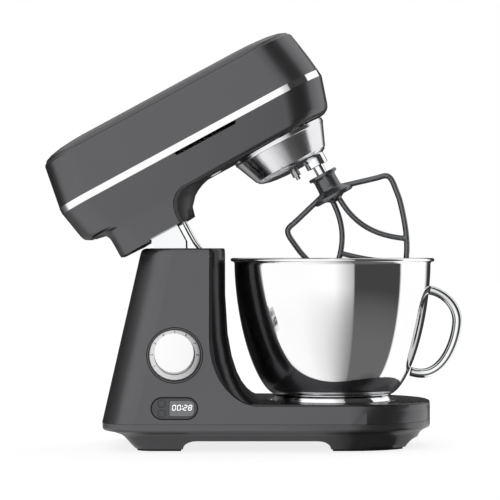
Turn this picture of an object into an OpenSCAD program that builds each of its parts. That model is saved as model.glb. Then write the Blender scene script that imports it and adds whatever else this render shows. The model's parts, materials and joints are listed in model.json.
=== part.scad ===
// Tilt-head stand mixer. Millimetres, Z up, X from the column towards the bowl.
// Sizes are given from the bowl's axis; standing() moves the whole to its middle.
// The head is drawn level, as it runs, and placed() tips it open about the hinge pin.

/* [Base and column] */
// Bowl axis to the rear of the base, at the skirt seam
base_rear = 249.2; // [240:0.2:300]
// Bowl axis to the front of the base
base_front = 107; // [100:1:130]
// Half the width of the base at the skirt seam
base_half_w = 97; // [88:1:110]
// Height of the platform that carries the bowl
platform_z = 50.3; // [44:0.1:60]
// Height of the seam between housing and skirt
seam_z = 30; // [26:0.5:34]
// Height of the skirt's underside between the feet
underside_z = 11; // [8:0.5:14]
// Height of the column's flat top
column_top_z = 216.4; // [200:0.2:240]
// Bowl axis to the column's rear edge at its top
column_rear = 208.4; // [200:0.2:240]
// Bowl axis to the column's front face
column_front = 118.3; // [116:0.1:126]
// Half the width of the column at its top
column_half_w = 62; // [54:1:72]
// Depth of the rounded strip between the side crease and the front face
strip = 16.1; // [12:0.1:22]
// Wall of the moulded housings
wall = 3; // [2:0.1:4]
// Thickness of the rubber under each foot
pad_t = 2; // [1.5:0.1:3]

/* [Head] */
// Bowl axis to the rear of the head
head_rear = 245; // [235:1:280]
// Bowl axis to the tip of the head
head_front = 75.2; // [70:0.2:90]
// Half the width of the head at the trim band
head_half_w = 70; // [66:1:80]
// Height of the neck below the head's underside
neck_h = 30.8; // [26:0.2:44]
// Height of the lower housing
lower_h = 37.8; // [34:0.2:50]
// Height of the metal trim band
band_h = 7.3; // [6:0.1:12]
// Height of the upper cover, up to the panel seam
upper_h = 49.8; // [44:0.2:64]
// Rise of the top panel above its seam
crown_h = 8.8; // [5:0.1:12]
// How far the head tips back
open_angle = 28.4; // [15:0.2:30]
// Bowl axis to the hinge pin
pivot_back = 199.1; // [196:0.1:204]
// Depth of the hinge pin below the column's top
pivot_drop = 42.6; // [36:0.2:48]
// Radius of the hinge pin
pin_r = 6; // [5:0.5:8]

/* [Bowl] */
// Radius over the rolled rim
rim_r = 112; // [100:1:116]
// Radius of the rolled bead
bead_r = 2; // [1.5:0.1:3]
// Radius of the bowl's wall just below the rim
bowl_r = 107.8; // [96:0.2:111]
// Radius of the flat bottom
bowl_floor_r = 62; // [54:1:66]
// Height of the rim
rim_z = 205.7; // [196:0.1:208]
// Sheet thickness of the bowl
bowl_t = 0.9; // [0.6:0.1:1.5]
// Radius of the base ring
foot_r = 66.5; // [62:0.5:72]
// How far the handle stands out from the bowl's axis
handle_reach = 142.4; // [135:0.2:155]
// Radial thickness of the handle's grip
handle_t = 10; // [8:0.5:12]
// Width of the handle's grip
handle_w = 22; // [16:1:30]

/* [Planetary drive] */
// Teeth of the fixed ring gear
ring_teeth = 57; // [57:3:63]
// Teeth of the pinion on the tool shaft
pinion_teeth = 15; // [12:3:18]
// Gear module
gear_module = 1.2; // [1.2:0.05:1.3]
// Radius of the chrome hub at its top
hub_top_r = 54.2; // [50:0.1:60]
// Radius of the chrome hub at its lower edge
hub_low_r = 42; // [38:0.2:48]
// Height of the conical hub
hub_h = 30; // [24:1:36]
// Radius of the tool shaft
shaft_r = 6; // [5:0.5:7]
// Radius of the driven belt pulley
pulley_r = 50; // [40:1:54]
// Radius of the motor pulley
motor_pulley_r = 10; // [8:0.5:12]
// Bowl axis to the motor's axis
motor_back = 158; // [150:1:175]
// Radius of the motor can
motor_r = 42; // [34:1:46]

/* [Beater] */
// Half the width of the beater's frame, over its rods
beater_half_w = 69; // [58:1:70]
// Thickness of the beater's rods
rod_d = 6.3; // [5:0.1:8]
// Height of the beater's tip above the bowl's floor
beater_gap = 5; // [3:0.5:8]
// How far the beater can be pushed up its shaft
beater_lift = 7; // [5:0.5:8]

/* [Controls] */
// Bowl axis back to the knob and to the display
knob_back = 170.6; // [165:0.2:176]
// Height of the knob's centre
knob_z = 102.6; // [98:0.2:112]
// Radius of the turning knob
knob_r = 21; // [18:0.5:24]
// How far the knob stands out
knob_h = 19; // [14:0.5:22]
// Radius of the fixed dial ring
dial_r = 27; // [25:0.5:29]
// Height of the display's centre
display_z = 46.8; // [44:0.2:52]
// Length of the display
display_l = 50; // [44:1:56]
// Height of the display
display_h = 24; // [20:1:26]
// Side of each square button
button_a = 6.7; // [5:0.1:8]

/* [Fits] */
// Radial clearance of a turning shaft in its bore
run_fit = 0.05; // [0.02:0.01:0.1]
// Gap between two moulded pieces at a seam
seam = 0.3; // [0.2:0.1:0.6]
// Gap between a moving piece and what surrounds it
free_gap = 0.5; // [0.4:0.1:1]

/* [Hidden] */
$fn = 64;
corner_steps = 8;
eps = 0.01;

// ---- heights and places that follow from the sizes above ----
neck_gap = 3.2;
neck_z = column_top_z + neck_gap;
under_z = neck_z + neck_h;
band_z = under_z + lower_h;
upper_z = band_z + band_h;
panel_z = upper_z + upper_h;
pivot_x = -pivot_back;
pivot_z = column_top_z - pivot_drop;
drop = column_top_z - seam_z;
side_draft = (base_half_w - column_half_w) / drop;
side_angle = atan(side_draft);
rear_draft = (base_rear - column_rear) / drop;
rear_angle = atan(rear_draft);
rear_corner = 36;
crease_z = platform_z - 1.7;
tool_offset = (ring_teeth - pinion_teeth) * gear_module / 2;

// ---- the origin: middle of the whole mixer as it stands open ----
function tipped_x(x, z) = pivot_x + (x - pivot_x) * cos(open_angle) - (z - pivot_z) * sin(open_angle);
function rear_reach() =
    -min([for (s = concat(lower_sections, cover_sections, panel_sections)) tipped_x(s[1], s[0])]);
module standing() {
    translate([(rear_reach() - handle_reach) / 2, 0, 0]) children();
}

// ---- outlines, rings and skins ----
function quarter(cx, cy, rx, ry, start) =
    [for (k = [0 : corner_steps]) let (a = start + 90 * k / corner_steps) [cx + rx * cos(a), cy + ry * sin(a)]];

// A section is [z, back, front, half-width behind, half-width in front, rear corner, front corner x, front corner y],
// and may end with the x up to which the sides keep the half-width behind
function outline(s, t = 0) =
    let (b = s[1] + t, f = s[2] - t, wr = s[3] - t, wf = s[4] - t)
    let (rr = max(s[5] - t, 2), fx = max(s[6] - t, 2), fy = max(s[7] - t, 2))
    let (has_mid = len(s) > 8)
    concat(
        quarter(f - fx, wf - fy, fx, fy, 0),
        has_mid ? [[s[8], wr]] : [],
        quarter(b + rr, wr - rr, rr, rr, 90),
        quarter(b + rr, rr - wr, rr, rr, 180),
        has_mid ? [[s[8], -wr]] : [],
        quarter(f - fx, fy - wf, fx, fy, 270)
    );
function ring(s, t = 0, dz = 0) = [for (p = outline(s, t)) [p[0], p[1], s[0] + dz]];
function flip(list) = [for (i = [len(list) - 1 : -1 : 0]) list[i]];

// Closed skin over rings with equal point counts, capped at both ends or run round into a loop
module skin(rings, loop = false) {
    n = len(rings[0]);
    m = len(rings);
    last = loop ? m - 1 : m - 2;
    sides = [for (i = [0 : last], j = [0 : n - 1])
        let (a = i * n, b = ((i + 1) % m) * n, k = (j + 1) % n)
        each [[a + j, b + j, b + k], [a + j, b + k, a + k]]];
    first_cap = [for (j = [0 : n - 1]) j];
    last_cap = [for (j = [n - 1 : -1 : 0]) (m - 1) * n + j];
    polyhedron([for (r = rings) each r], loop ? sides : concat([first_cap], sides, [last_cap]), convexity = 8);
}

// Joins the faceted surfaces of a moulding into one mesh, at their own size
module merged() {
    resize([0, 0, 0]) children();
}
// Superellipse fillet: 0 where u is 0, 1 where u is 1
function sweep(u, n) = 1 - pow(1 - pow(min(max(u, 0), 1), n), 1 / n);

// ---- stand: sections of the base from the skirt seam to the column's top ----
sweep_top_z = platform_z + 125;
sweep_depth = 46;
function base_w(z) = base_half_w - (z - seam_z) * side_draft;
function base_back(z) = -base_rear + (z - seam_z) * rear_draft;
function column_face(z) =
    -column_front + sweep_depth * sweep((sweep_top_z - z) / (sweep_top_z - platform_z), 2.4);
// The crease between the side wall and the front strip
crease_r = 70;
function crease_x(z) =
    -column_front - strip + 0.8 * crease_r * sweep((crease_z + crease_r - z) / (crease_r + 0.5), 2);
function platform_section(z, inset) =
    [z, base_back(z), base_front - inset, base_w(z), base_w(z), rear_corner, base_front - 15, base_w(z) - 5];
function column_section(z, inset = 0) =
    [z, base_back(z) + inset, column_face(z) - inset / 4, base_w(z) - inset / 2, base_w(z) - inset / 2,
     rear_corner, column_face(z) - crease_x(z), 36];
platform_sections = [
    platform_section(seam_z, 0),
    platform_section(crease_z - 6, 0),
    platform_section(crease_z + 0.17, 0.3),
    platform_section(platform_z - 0.5, 0.9),
    platform_section(platform_z, 2.2)
];
column_sections = concat(
    [for (h = [0.5, 1.6, 4, 9, 17, 28, 45, 70]) column_section(platform_z + h)],
    [for (k = [1 : 2]) column_section(platform_z + 70 + k * (column_top_z - platform_z - 76) / 2)],
    [column_section(column_top_z - 2.5, 0.6), column_section(column_top_z - 0.8, 2.4), column_section(column_top_z, 6)]
);
base_sections = concat(platform_sections, column_sections);
// Side view of everything above and in front of the crease
function crease_line(off) = concat(
    [[-column_front - strip + off, column_top_z + 5]],
    [for (k = [0 : 9]) let (z = crease_z + crease_r * (1 - sin(k * 10))) [crease_x(z) + off, z + off]],
    [[crease_x(crease_z) + 30, crease_z + off]]
);
cut_off = 0.13;
module front_region(off = cut_off) {
    far = base_front + 10;
    rotate([90, 0, 0])
        linear_extrude(4 * base_half_w, center = true)
            polygon(concat(crease_line(off), [[far, crease_z + off], [far, column_top_z + 5]]));
}
module base_shell() {
    n = len(base_sections);
    skin(concat(
        [for (i = [n - 1 : -1 : 1]) ring(base_sections[i], wall, -wall)],
        [ring(base_sections[0], wall)],
        [for (s = base_sections) ring(s)]
    ));
}

// Plane of the side wall: local Z leaves the wall, local Y runs up it
module on_side(x, z) {
    translate([x, -base_w(z), z])
        rotate([90 - side_angle, 0, 0])
            children();
}
knob_x = -knob_back;
groove_r = dial_r + 3;
groove_d = 1.6;
module pill(l, h, t) {
    linear_extrude(t)
        union() {
            square([l - h, h], center = true);
            for (sx = [-1, 1]) translate([sx * (l - h) / 2, 0]) circle(d = h);
        }
}
// Openings that the controls, the bowl's seat and the cord pass through
module control_cuts() {
    on_side(knob_x, knob_z) {
        translate([0, 0, -groove_d]) cylinder(r = groove_r, h = 10);
        translate([0, 0, -12]) cylinder(r = 8, h = 20);
    }
    on_side(knob_x, display_z)
        translate([0, 0, -10]) pill(display_l + 2 * seam, display_h + 2 * seam, 20);
}
opening_back = -203;
opening_front = -column_front - wall - 2.5;
opening_half_w = 40;
module top_opening() {
    translate([opening_back, -opening_half_w, column_top_z - wall - 2])
        cube([opening_front - opening_back, 2 * opening_half_w, 10]);
}
gland_y = 42;
gland_z = 44;
gland_r = 9;
gland_bore = 3.6;
module at_gland() {
    translate([base_back(gland_z), gland_y, gland_z]) rotate([0, rear_angle - 90, 0]) children();
}
release_z = 170;
release_x = -166;
release_r = 11;
module on_far_side(x, z) {
    mirror([0, 1, 0]) on_side(x, z) children();
}

module base_housing() {
    color("#4b4b4d") standing()
    merged() difference() {
        base_shell();
        front_region();
        translate([0, 0, platform_z - 8]) cylinder(r = seat_r + seam, h = 20);
        top_opening();
        control_cuts();
        at_gland() translate([0, 0, -12]) cylinder(r = gland_r + seam, h = 24);
        on_far_side(release_x, release_z) translate([0, 0, -8]) cylinder(r = release_r + free_gap, h = 16);
    }
}

seat_r = foot_r + 5;
module front_panel() {
    color("#48484a") standing()
    merged() difference() {
        intersection() {
            base_shell();
            front_region(cut_off + seam);
        }
        top_opening();
        translate([0, 0, platform_z - 8]) cylinder(r = seat_r + seam, h = 20);
    }
}

// ---- skirt under the base, with a leg moulded at each corner ----
leg_in = 35;
leg_len_rear = 52;
leg_len_front = 76;
leg_rear_x = -base_rear + leg_in;
leg_front_x = base_front - leg_in - leg_len_front;
leg_gap_w = 44;
// The skirt turns under most at the rear, less at the sides and least in front
function skirt_section(z, inset) =
    let (side = 0.6 * inset, front = 0.5 * inset)
    [z, -base_rear + 0.4 + inset, base_front - front, base_half_w - side, base_half_w - side,
     rear_corner - inset / 2, base_front - 15 - front, base_half_w - 5 - side];
skirt_profile = [
    [pad_t, leg_in], [pad_t + 4, leg_in - 4], [seam_z - 19.3, 27], [seam_z - 15.5, 23.5], [seam_z - 13, 20],
    [seam_z - 11, 14.5], [seam_z - 9.8, 10.5], [seam_z - 9, 6], [seam_z - 8.2, 2.2], [seam_z - 7, 0.6],
    [seam_z - 5.5, 0], [seam_z - seam, 0]
];
skirt_inside = [
    [seam_z - seam, 0], [seam_z - 5, 0], [seam_z - 6.5, 5], [seam_z - 9, 15], [seam_z - 12, 21],
    [underside_z + wall, 24.5]
];
// Side view of one gap between legs, with the concave flare where a leg meets the underside
module leg_gap(x0, x1) {
    r = underside_z - pad_t + eps;
    polygon(concat(
        [[x0, -1], [x0, pad_t - eps]],
        [for (k = [1 : 5]) [x0 + 1.6 * r * (1 - cos(k * 18)), pad_t + r * sin(k * 18)]],
        [for (k = [5 : -1 : 1]) [x1 - 1.6 * r * (1 - cos(k * 18)), pad_t + r * sin(k * 18)]],
        [[x1, pad_t - eps], [x1, -1]]
    ));
}
module base_cover() {
    color("#444446") standing()
    merged() difference() {
        skin(concat(
            [for (p = skirt_profile) ring(skirt_section(p[0], p[1]))],
            [for (p = skirt_inside) ring(skirt_section(p[0], p[1]), wall)]
        ));
        rotate([90, 0, 0]) linear_extrude(400, center = true)
            leg_gap(leg_rear_x + leg_len_rear, leg_front_x);
        rotate([90, 0, 0]) rotate([0, 90, 0]) linear_extrude(800, center = true)
            leg_gap(-leg_gap_w, leg_gap_w);
    }
}
module foot_outline(x, l, side) {
    intersection() {
        polygon(outline(skirt_section(0, leg_in + 2)));
        translate([x + 2, side > 0 ? leg_gap_w + 2 : -base_half_w]) square([l - 4, base_half_w - leg_gap_w - 2]);
    }
}
module foot_pads() {
    color("#161616") standing()
    for (side = [-1, 1]) {
        linear_extrude(pad_t) foot_outline(leg_rear_x, leg_len_rear, side);
        linear_extrude(pad_t) foot_outline(leg_front_x, base_front - leg_front_x, side);
    }
}

// The seat carries the bowl's foot, three hooks over it lock the bowl's lugs
seat_floor_z = 44.6;
foot_bottom_z = seat_floor_z + 0.4;
lug_count = 3;
lug_low_z = seat_floor_z + 0.9;
lug_t = 2.4;
lug_in_r = foot_r - 4.7;
lug_half_angle = 8;
hook_out_r = lug_in_r + 1.5;
hook_top_z = lug_low_z + lug_t + 2;
module bowl_seat() {
    color("#9a9a9c") standing()
    difference() {
        union() {
            rotate_extrude()
                polygon([
                    [0, seat_floor_z - 3], [seat_r, seat_floor_z - 3], [seat_r, platform_z + 0.2],
                    [seat_r - 1.2, platform_z + 0.8], [seat_r - 2.4, platform_z + 0.2],
                    [seat_r - 3, seat_floor_z], [0, seat_floor_z]
                ]);
            for (k = [0 : lug_count - 1]) rotate(120 * k - lug_half_angle - 1) {
                rotate_extrude(angle = 2 * lug_half_angle + 2)
                    polygon([
                        [lug_in_r - 3.3, seat_floor_z - eps], [lug_in_r - free_gap, seat_floor_z - eps],
                        [lug_in_r - free_gap, hook_top_z - 1.5], [hook_out_r, hook_top_z - 1.5],
                        [hook_out_r, hook_top_z], [lug_in_r - 3.3, hook_top_z]
                    ]);
                // stop that the lug meets when the bowl is locked
                rotate(-3) rotate_extrude(angle = 3 + eps)
                    translate([lug_in_r - 3.3, seat_floor_z - eps]) square([4.8, hook_top_z - seat_floor_z + eps]);
            }
        }
        for (k = [0 : 2]) rotate(60 + 120 * k) translate([40, 0, seat_floor_z - 5]) cylinder(r = 2.2, h = 10);
    }
}
module cord_gland() {
    color("#1b1b1b") standing()
    at_gland() difference() {
        union() {
            translate([0, 0, -9]) cylinder(r = gland_r, h = 10);
            translate([0, 0, 0.9]) cylinder(r1 = gland_r + 2, r2 = gland_r - 1, h = 3);
        }
        translate([0, 0, -10]) cylinder(r = gland_bore, h = 20);
    }
}

// ---- steel frame in the column, and the pin that the head turns on ----
arm_y = 26;
arm_t = 6;
frame_y = arm_y + arm_t + 1.5;
frame_t = 5;
frame_top_r = 13.5;
frame_foot_z = underside_z + wall;
frame_back = -base_rear + 46;
frame_front = -column_front - 32;
module frame_side() {
    rotate([90, 0, 0]) linear_extrude(frame_t)
        difference() {
            union() {
                translate([pivot_x, pivot_z]) circle(r = frame_top_r);
                polygon([
                    [frame_back, frame_foot_z], [pivot_x - frame_top_r, pivot_z],
                    [pivot_x + frame_top_r, pivot_z], [frame_front, pivot_z - 75], [frame_front, frame_foot_z]
                ]);
            }
            translate([pivot_x, pivot_z]) circle(r = pin_r);
            for (h = [30, 66]) translate([pivot_x + 6, frame_foot_z + h]) circle(r = 9);
        }
}
module column_frame() {
    color("#8c8f92") standing()
    union() {
        translate([0, frame_y + frame_t, 0]) frame_side();
        translate([0, -frame_y, 0]) frame_side();
        translate([frame_back, -frame_y - eps, frame_foot_z])
            cube([frame_front - frame_back, 2 * frame_y + 2 * eps, frame_t]);
        translate([frame_back + 12, -frame_y - eps, frame_foot_z + 40])
            cube([frame_t, 2 * frame_y + 2 * eps, 40]);
    }
}
module hinge_pin() {
    color("#c8cacc") standing()
    translate([pivot_x, 0, pivot_z]) rotate([90, 0, 0]) {
        cylinder(r = pin_r, h = 2 * (frame_y + frame_t) + 6, center = true);
        for (s = [-1, 1]) translate([0, 0, s * (frame_y + frame_t + 2)]) cylinder(r = pin_r + 3, h = 2, center = true);
    }
}
// ---- controls on the near side of the column ----
speed_marks = 12;
module dial_ring() {
    color("#d5d6d8") standing()
    on_side(knob_x, knob_z)
        difference() {
            rotate_extrude() polygon([
                [knob_r + free_gap, -groove_d], [dial_r, -groove_d], [dial_r, 1.4], [dial_r - 0.4, 2.2],
                [dial_r - 1, 2.6], [knob_r + 1.6, 4.4], [knob_r + 0.9, 4.6], [knob_r + free_gap, 4.4]
            ]);
            for (k = [0 : speed_marks - 1])
                rotate(k * 360 / speed_marks)
                    translate([knob_r + 2.2, -0.35, 3.8]) rotate([0, 28, 0]) cube([2.2, 0.7, 3]);
        }
}
knob_stem_r = 3;
module speed_knob() {
    color("#e2e3e4") standing()
    on_side(knob_x, knob_z) {
        rotate_extrude() polygon([
            [0, 2], [knob_r - 2, 2], [knob_r, 3], [knob_r, knob_h - 2.2], [knob_r - 0.7, knob_h - 0.7],
            [knob_r - 2.2, knob_h], [knob_r - 3, knob_h - 0.5], [0, knob_h - 0.5]
        ]);
        translate([0, 0, -10]) cylinder(r = knob_stem_r, h = 13);
    }
}
module speed_encoder() {
    color("#2f6b3a") standing()
    on_side(knob_x, knob_z)
        difference() {
            translate([0, 0, -18]) union() {
                translate([0, 0, 5]) cylinder(r = 7.5, h = 11);
                translate([-10, -10, 0]) cube([20, 20, 8]);
            }
            translate([0, 0, -11]) cylinder(r = knob_stem_r + run_fit, h = 20);
        }
}
display_t = 2.4;
screen_x = 8;
screen_l = 26.5;
screen_h = 16.6;
buttons_x = -13.5;
button_pitch = 10.6;
module button_places() {
    for (k = [0, 1]) translate([buttons_x, (k - 0.5) * button_pitch, 0]) children();
}
module one_button(k) {
    on_side(knob_x, display_z)
        translate([buttons_x, (k - 0.5) * button_pitch, 0]) {
            translate([-button_a / 2, -button_a / 2, -display_t + 1]) cube([button_a, button_a, display_t - 0.8]);
            translate([-button_a / 2 - 0.8, -button_a / 2 - 0.8, -display_t - 0.8])
                cube([button_a + 1.6, button_a + 1.6, 0.8 + eps]);
            translate([0, 0, -display_t - 2.2]) cylinder(r = 1.5, h = 4);
        }
}
module display_bezel() {
    color("#333436") standing()
    on_side(knob_x, display_z)
        difference() {
            union() {
                translate([0, 0, -display_t]) pill(display_l, display_h, display_t - 0.3);
                translate([0, 0, -wall - 1.6]) pill(display_l - 3, display_h - 3, wall);
            }
            translate([screen_x - screen_l / 2 - 0.2, -screen_h / 2 - 0.2, -10])
                cube([screen_l + 0.4, screen_h + 0.4, 20]);
            button_places() {
                translate([-button_a / 2 - seam, -button_a / 2 - seam, -10])
                    cube([button_a + 2 * seam, button_a + 2 * seam, 20]);
                translate([-button_a / 2 - 1.2, -button_a / 2 - 1.2, -10])
                    cube([button_a + 2.4, button_a + 2.4, 10 - display_t + 0.3]);
            }
        }
}
module display_window() {
    color("#8a8d90") standing()
    on_side(knob_x, display_z)
        translate([screen_x - screen_l / 2, -screen_h / 2, -wall - 1.6])
            cube([screen_l, screen_h, wall + 1.2]);
}
module timer_button() {
    color("#3a3b3d") standing() one_button(1);
}
module reset_button() {
    color("#3a3b3d") standing() one_button(0);
}
// One board behind the dial and the display, parallel to the side wall
board_depth = 18;
module control_board() {
    color("#1f5c3a") standing()
    on_side(knob_x, (knob_z + display_z) / 2)
        difference() {
            translate([-30, -42, -board_depth - 1.6]) cube([60, 90, 1.6]);
            for (sx = [-1, 1], sy = [-1, 1]) translate([sx * 26, 3 + sy * 40, -board_depth - 3]) cylinder(r = 1.6, h = 6);
        }
}
module power_board() {
    color("#2a5a34") standing()
    translate([frame_front + 12, -30, underside_z + wall + 4]) {
        cube([70, 60, 1.6]);
        translate([8, 8, 1.6]) cube([22, 26, 18]);
        translate([38, 10, 1.6]) cylinder(r = 7, h = 20);
        translate([56, 10, 1.6]) cylinder(r = 6, h = 14);
        translate([36, 30, 1.6]) cube([26, 6, 16]);
        for (sx = [5, 65], sy = [5, 55]) translate([sx, sy, -4]) cylinder(r = 2.5, h = 4 + eps);
    }
}
// ---- tilt release on the far side: a button on a sliding latch plate ----
module release_button() {
    color("#2a2a2b") standing()
    on_far_side(release_x, release_z)
        rotate_extrude() polygon([
            [0, -button_depth], [release_r, -button_depth], [release_r, 4.2], [release_r - 1, 5.2], [0, 5.6]
        ]);
}
latch_y = frame_y + frame_t + 8;
button_depth = 6;
button_back = base_w(release_z) - button_depth / cos(side_angle) - 4 * tan(side_angle) - 0.15;
module latch_slider() {
    color("#a5a7a9") standing()
    translate([release_x, 0, release_z])
        union() {
            translate([-6, latch_y, -4]) cube([12, button_back - latch_y, 8]);
            translate([-6, latch_y - 3, -4]) cube([12, 3 + eps, 30]);
            translate([-6, latch_y - 7.5, 20]) cube([12, 5, 6]);
        }
}

// ==== head, drawn level ====
module placed() {
    standing()
        translate([pivot_x, 0, pivot_z])
            rotate([0, -open_angle, 0])
                translate([-pivot_x, 0, -pivot_z])
                    children();
}
nose_l = 50;
nose_w = 52;
head_corner = 40;
neck_corner = 26;
neck_sweep = 46;
neck_back = -column_rear - 3;
head_draft = (head_half_w - column_half_w - 1) / lower_h;
band_w = head_half_w;
function head_w(z) = band_w - max(band_z - z, 0) * head_draft - max(z - upper_z, 0) * 0.075;
function head_back(z) = -head_rear + max(band_z - z, 0) * 0.18 + max(z - upper_z, 0) * 0.155;
function head_nose(z) =
    let (up = max(z - band_z, 0))
    head_front - max(band_z - z, 0) * 0.3 - up * (0.09 + 0.001 * up);
function neck_face(z) = -column_front - 2 + neck_sweep * sweep((z - neck_z) / (under_z - neck_z), 2);
under_edge_z = under_z + 2.7;
neck_crease_r = 30;
function neck_crease_x(z) =
    -column_front - strip - 2.6 + neck_crease_r * sweep((z - under_edge_z + neck_crease_r) / (neck_crease_r + 0.4), 2.5);
function head_section(z, inset = 0, inset_w = 0) =
    [z, head_back(z) + inset, head_nose(z) - inset, head_w(z) - inset_w, head_w(z) - inset,
     head_corner - inset / 2, nose_l - inset / 2, nose_w - inset / 2];
// Half the width of the neck: it leaves the head's side at the side's own slope and straightens below
function neck_w(z) = head_w(under_z) - (under_z - z) * 0.03 - 1.2 * (1 - exp(-(under_z - z) / 8));
function neck_section(z, back) =
    [z, back, neck_face(z), neck_w(z), neck_w(z), neck_corner, neck_face(z) - neck_crease_x(z), 36,
     neck_crease_x(z) - 1];
// Shares of the neck's height, and how far its back has flared out there
neck_flare = [[0, 0], [0.35, 0], [0.66, 0.3], [0.776, 1.8], [0.857, 3.8], [0.91, 6.2], [0.955, 12], [0.987, 18]];
neck_sections = [for (f = neck_flare) neck_section(neck_z + f[0] * neck_h, neck_back - f[1])];
// The sides run on into the neck, so only what lies in front of it and behind it is drawn in
side_front = -column_front + 14;
lower_sections = [for (c = [[0, 9], [0.6, 4.5], [under_edge_z - 0.17 - under_z, 1.6], [5, 0.4], [9, 0],
        [lower_h - 3, 0], [lower_h, 0]])
    concat(head_section(under_z + c[0], c[1], 0), [side_front])];
function neck_line(off) = concat(
    [[-column_front - strip - 2.6 + off, neck_z - 8]],
    [for (k = [0 : 9])
        let (z = under_edge_z - neck_crease_r * (1 - sin(k * 10)))
        [neck_crease_x(z) + off, z - off]],
    [[neck_crease_x(under_edge_z) + 12, under_edge_z - off]]
);
// Side view of the neck's front strip and the head's underside
module under_region(off = cut_off) {
    far = head_front + 10;
    rotate([90, 0, 0])
        linear_extrude(4 * head_half_w, center = true)
            polygon(concat(neck_line(off), [[far, under_edge_z - off], [far, neck_z - 8]]));
}
head_floor_z = under_edge_z + 2.2;
module lower_shell() {
    outer = concat(neck_sections, lower_sections);
    n = len(outer);
    skin(concat(
        [for (s = outer) ring(s)],
        [ring(outer[n - 1], wall)],
        [for (i = [n - 2 : -1 : len(neck_sections) + 2]) ring(outer[i], wall, wall)],
        [for (i = [len(neck_sections) - 1 : -1 : 0]) ring(neck_sections[i], wall, wall)]
    ));
}
hub_z = band_z + band_h / 2 + 9;
hub_cover_r = 31.5;
module hub_hole() {
    translate([head_front - 40, 0, hub_z]) rotate([0, 90, 0]) cylinder(r = hub_cover_r + seam, h = 60);
}
hub_opening_r = hub_top_r + 2.5;
vent_x = -69;
vent_l = 77;
vent_h = 4;
module vent_slot() {
    for (s = [-1, 1])
        translate([vent_x, s * (head_w(band_z) - 2), band_z])
            rotate([90, 0, 0]) linear_extrude(6, center = true)
                polygon([[-vent_l / 2, 1], [vent_l / 2, 1], [vent_l / 2 - 3, -vent_h], [-vent_l / 2 + 3, -vent_h]]);
}
lip_l = 37;
lip_h = neck_gap - 0.9;
module rear_lip() {
    intersection() {
        translate([neck_back - 20, -head_half_w, neck_z - lip_h])
            cube([lip_l + 20, 2 * head_half_w, lip_h + wall / 2]);
        linear_extrude(400) difference() {
            polygon(outline(neck_sections[0], 0.2));
            polygon(outline(neck_sections[0], wall));
        }
    }
}
light_x = -77.5;
light_r = 7.2;
module under_openings() {
    translate([0, 0, under_z - 10]) cylinder(r = hub_opening_r, h = 30);
    translate([light_x, 0, under_z - 10]) cylinder(r = light_r + seam, h = 30);
}
// Rubber feet under the neck, which the level head rests on
module rest_buffers() {
    h = neck_gap - 0.4;
    color("#1a1a1a")
    placed() for (s = [-1, 1])
        translate([neck_back + 24, s * (opening_half_w + 9), neck_z - h]) cylinder(r1 = 3.4, r2 = 4.2, h = h);
}
module head_lower_housing() {
    color("#4b4b4d")
    placed() merged() difference() {
        union() {
            lower_shell();
            rear_lip();
        }
        under_region();
        under_openings();
        hub_hole();
        vent_slot();
    }
}
module underside_panel() {
    color("#48484a")
    placed() merged() difference() {
        intersection() {
            lower_shell();
            under_region(cut_off + seam);
        }
        under_openings();
    }
}
module trim_band() {
    color("#d9dadb")
    placed() difference() {
        translate([0, 0, band_z]) linear_extrude(band_h) difference() {
            polygon(outline(head_section(band_z + band_h / 2), -0.3));
            polygon(outline(head_section(band_z + band_h / 2), wall));
        }
        hub_hole();
    }
}
crown_in = 40;
cover_sections = [
    head_section(upper_z, 0),
    head_section(upper_z + 16, 0),
    head_section(upper_z + 32, 0),
    head_section(panel_z - 2.4, 0),
    head_section(panel_z - 0.9, 0.4, 0.4),
    head_section(panel_z, 1.5, 1.5)
];
function panel_section(k) =
    let (z = panel_z + crown_h * sin(k * 18), t = 1.9 + crown_in * (1 - cos(k * 18)))
    [z, head_back(panel_z) + t, head_nose(panel_z) - t, head_w(panel_z) - t * 0.62, head_w(panel_z) - t * 0.62,
     head_corner - t / 2.4, nose_l - t / 2.4, nose_w - t / 1.8];
panel_sections = [for (k = [0 : 5]) panel_section(k)];
ledge = 9;
module head_top_cover() {
    n = len(cover_sections);
    color("#4b4b4d")
    placed() merged() difference() {
        skin(concat(
            [for (s = cover_sections) ring(s)],
            [ring(cover_sections[n - 1], ledge)],
            [ring(cover_sections[n - 1], ledge, -2.4)],
            [for (i = [n - 3 : -1 : 0]) ring(cover_sections[i], wall)]
        ), loop = true);
        hub_hole();
    }
}
module top_panel() {
    color("#4d4d4f")
    placed() skin(concat(
        [for (i = [4 : -1 : 2]) ring(panel_sections[i], 2, -2.4)],
        [ring(panel_sections[0], 2.4)],
        [for (s = panel_sections) ring(s)]
    ));
}

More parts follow.
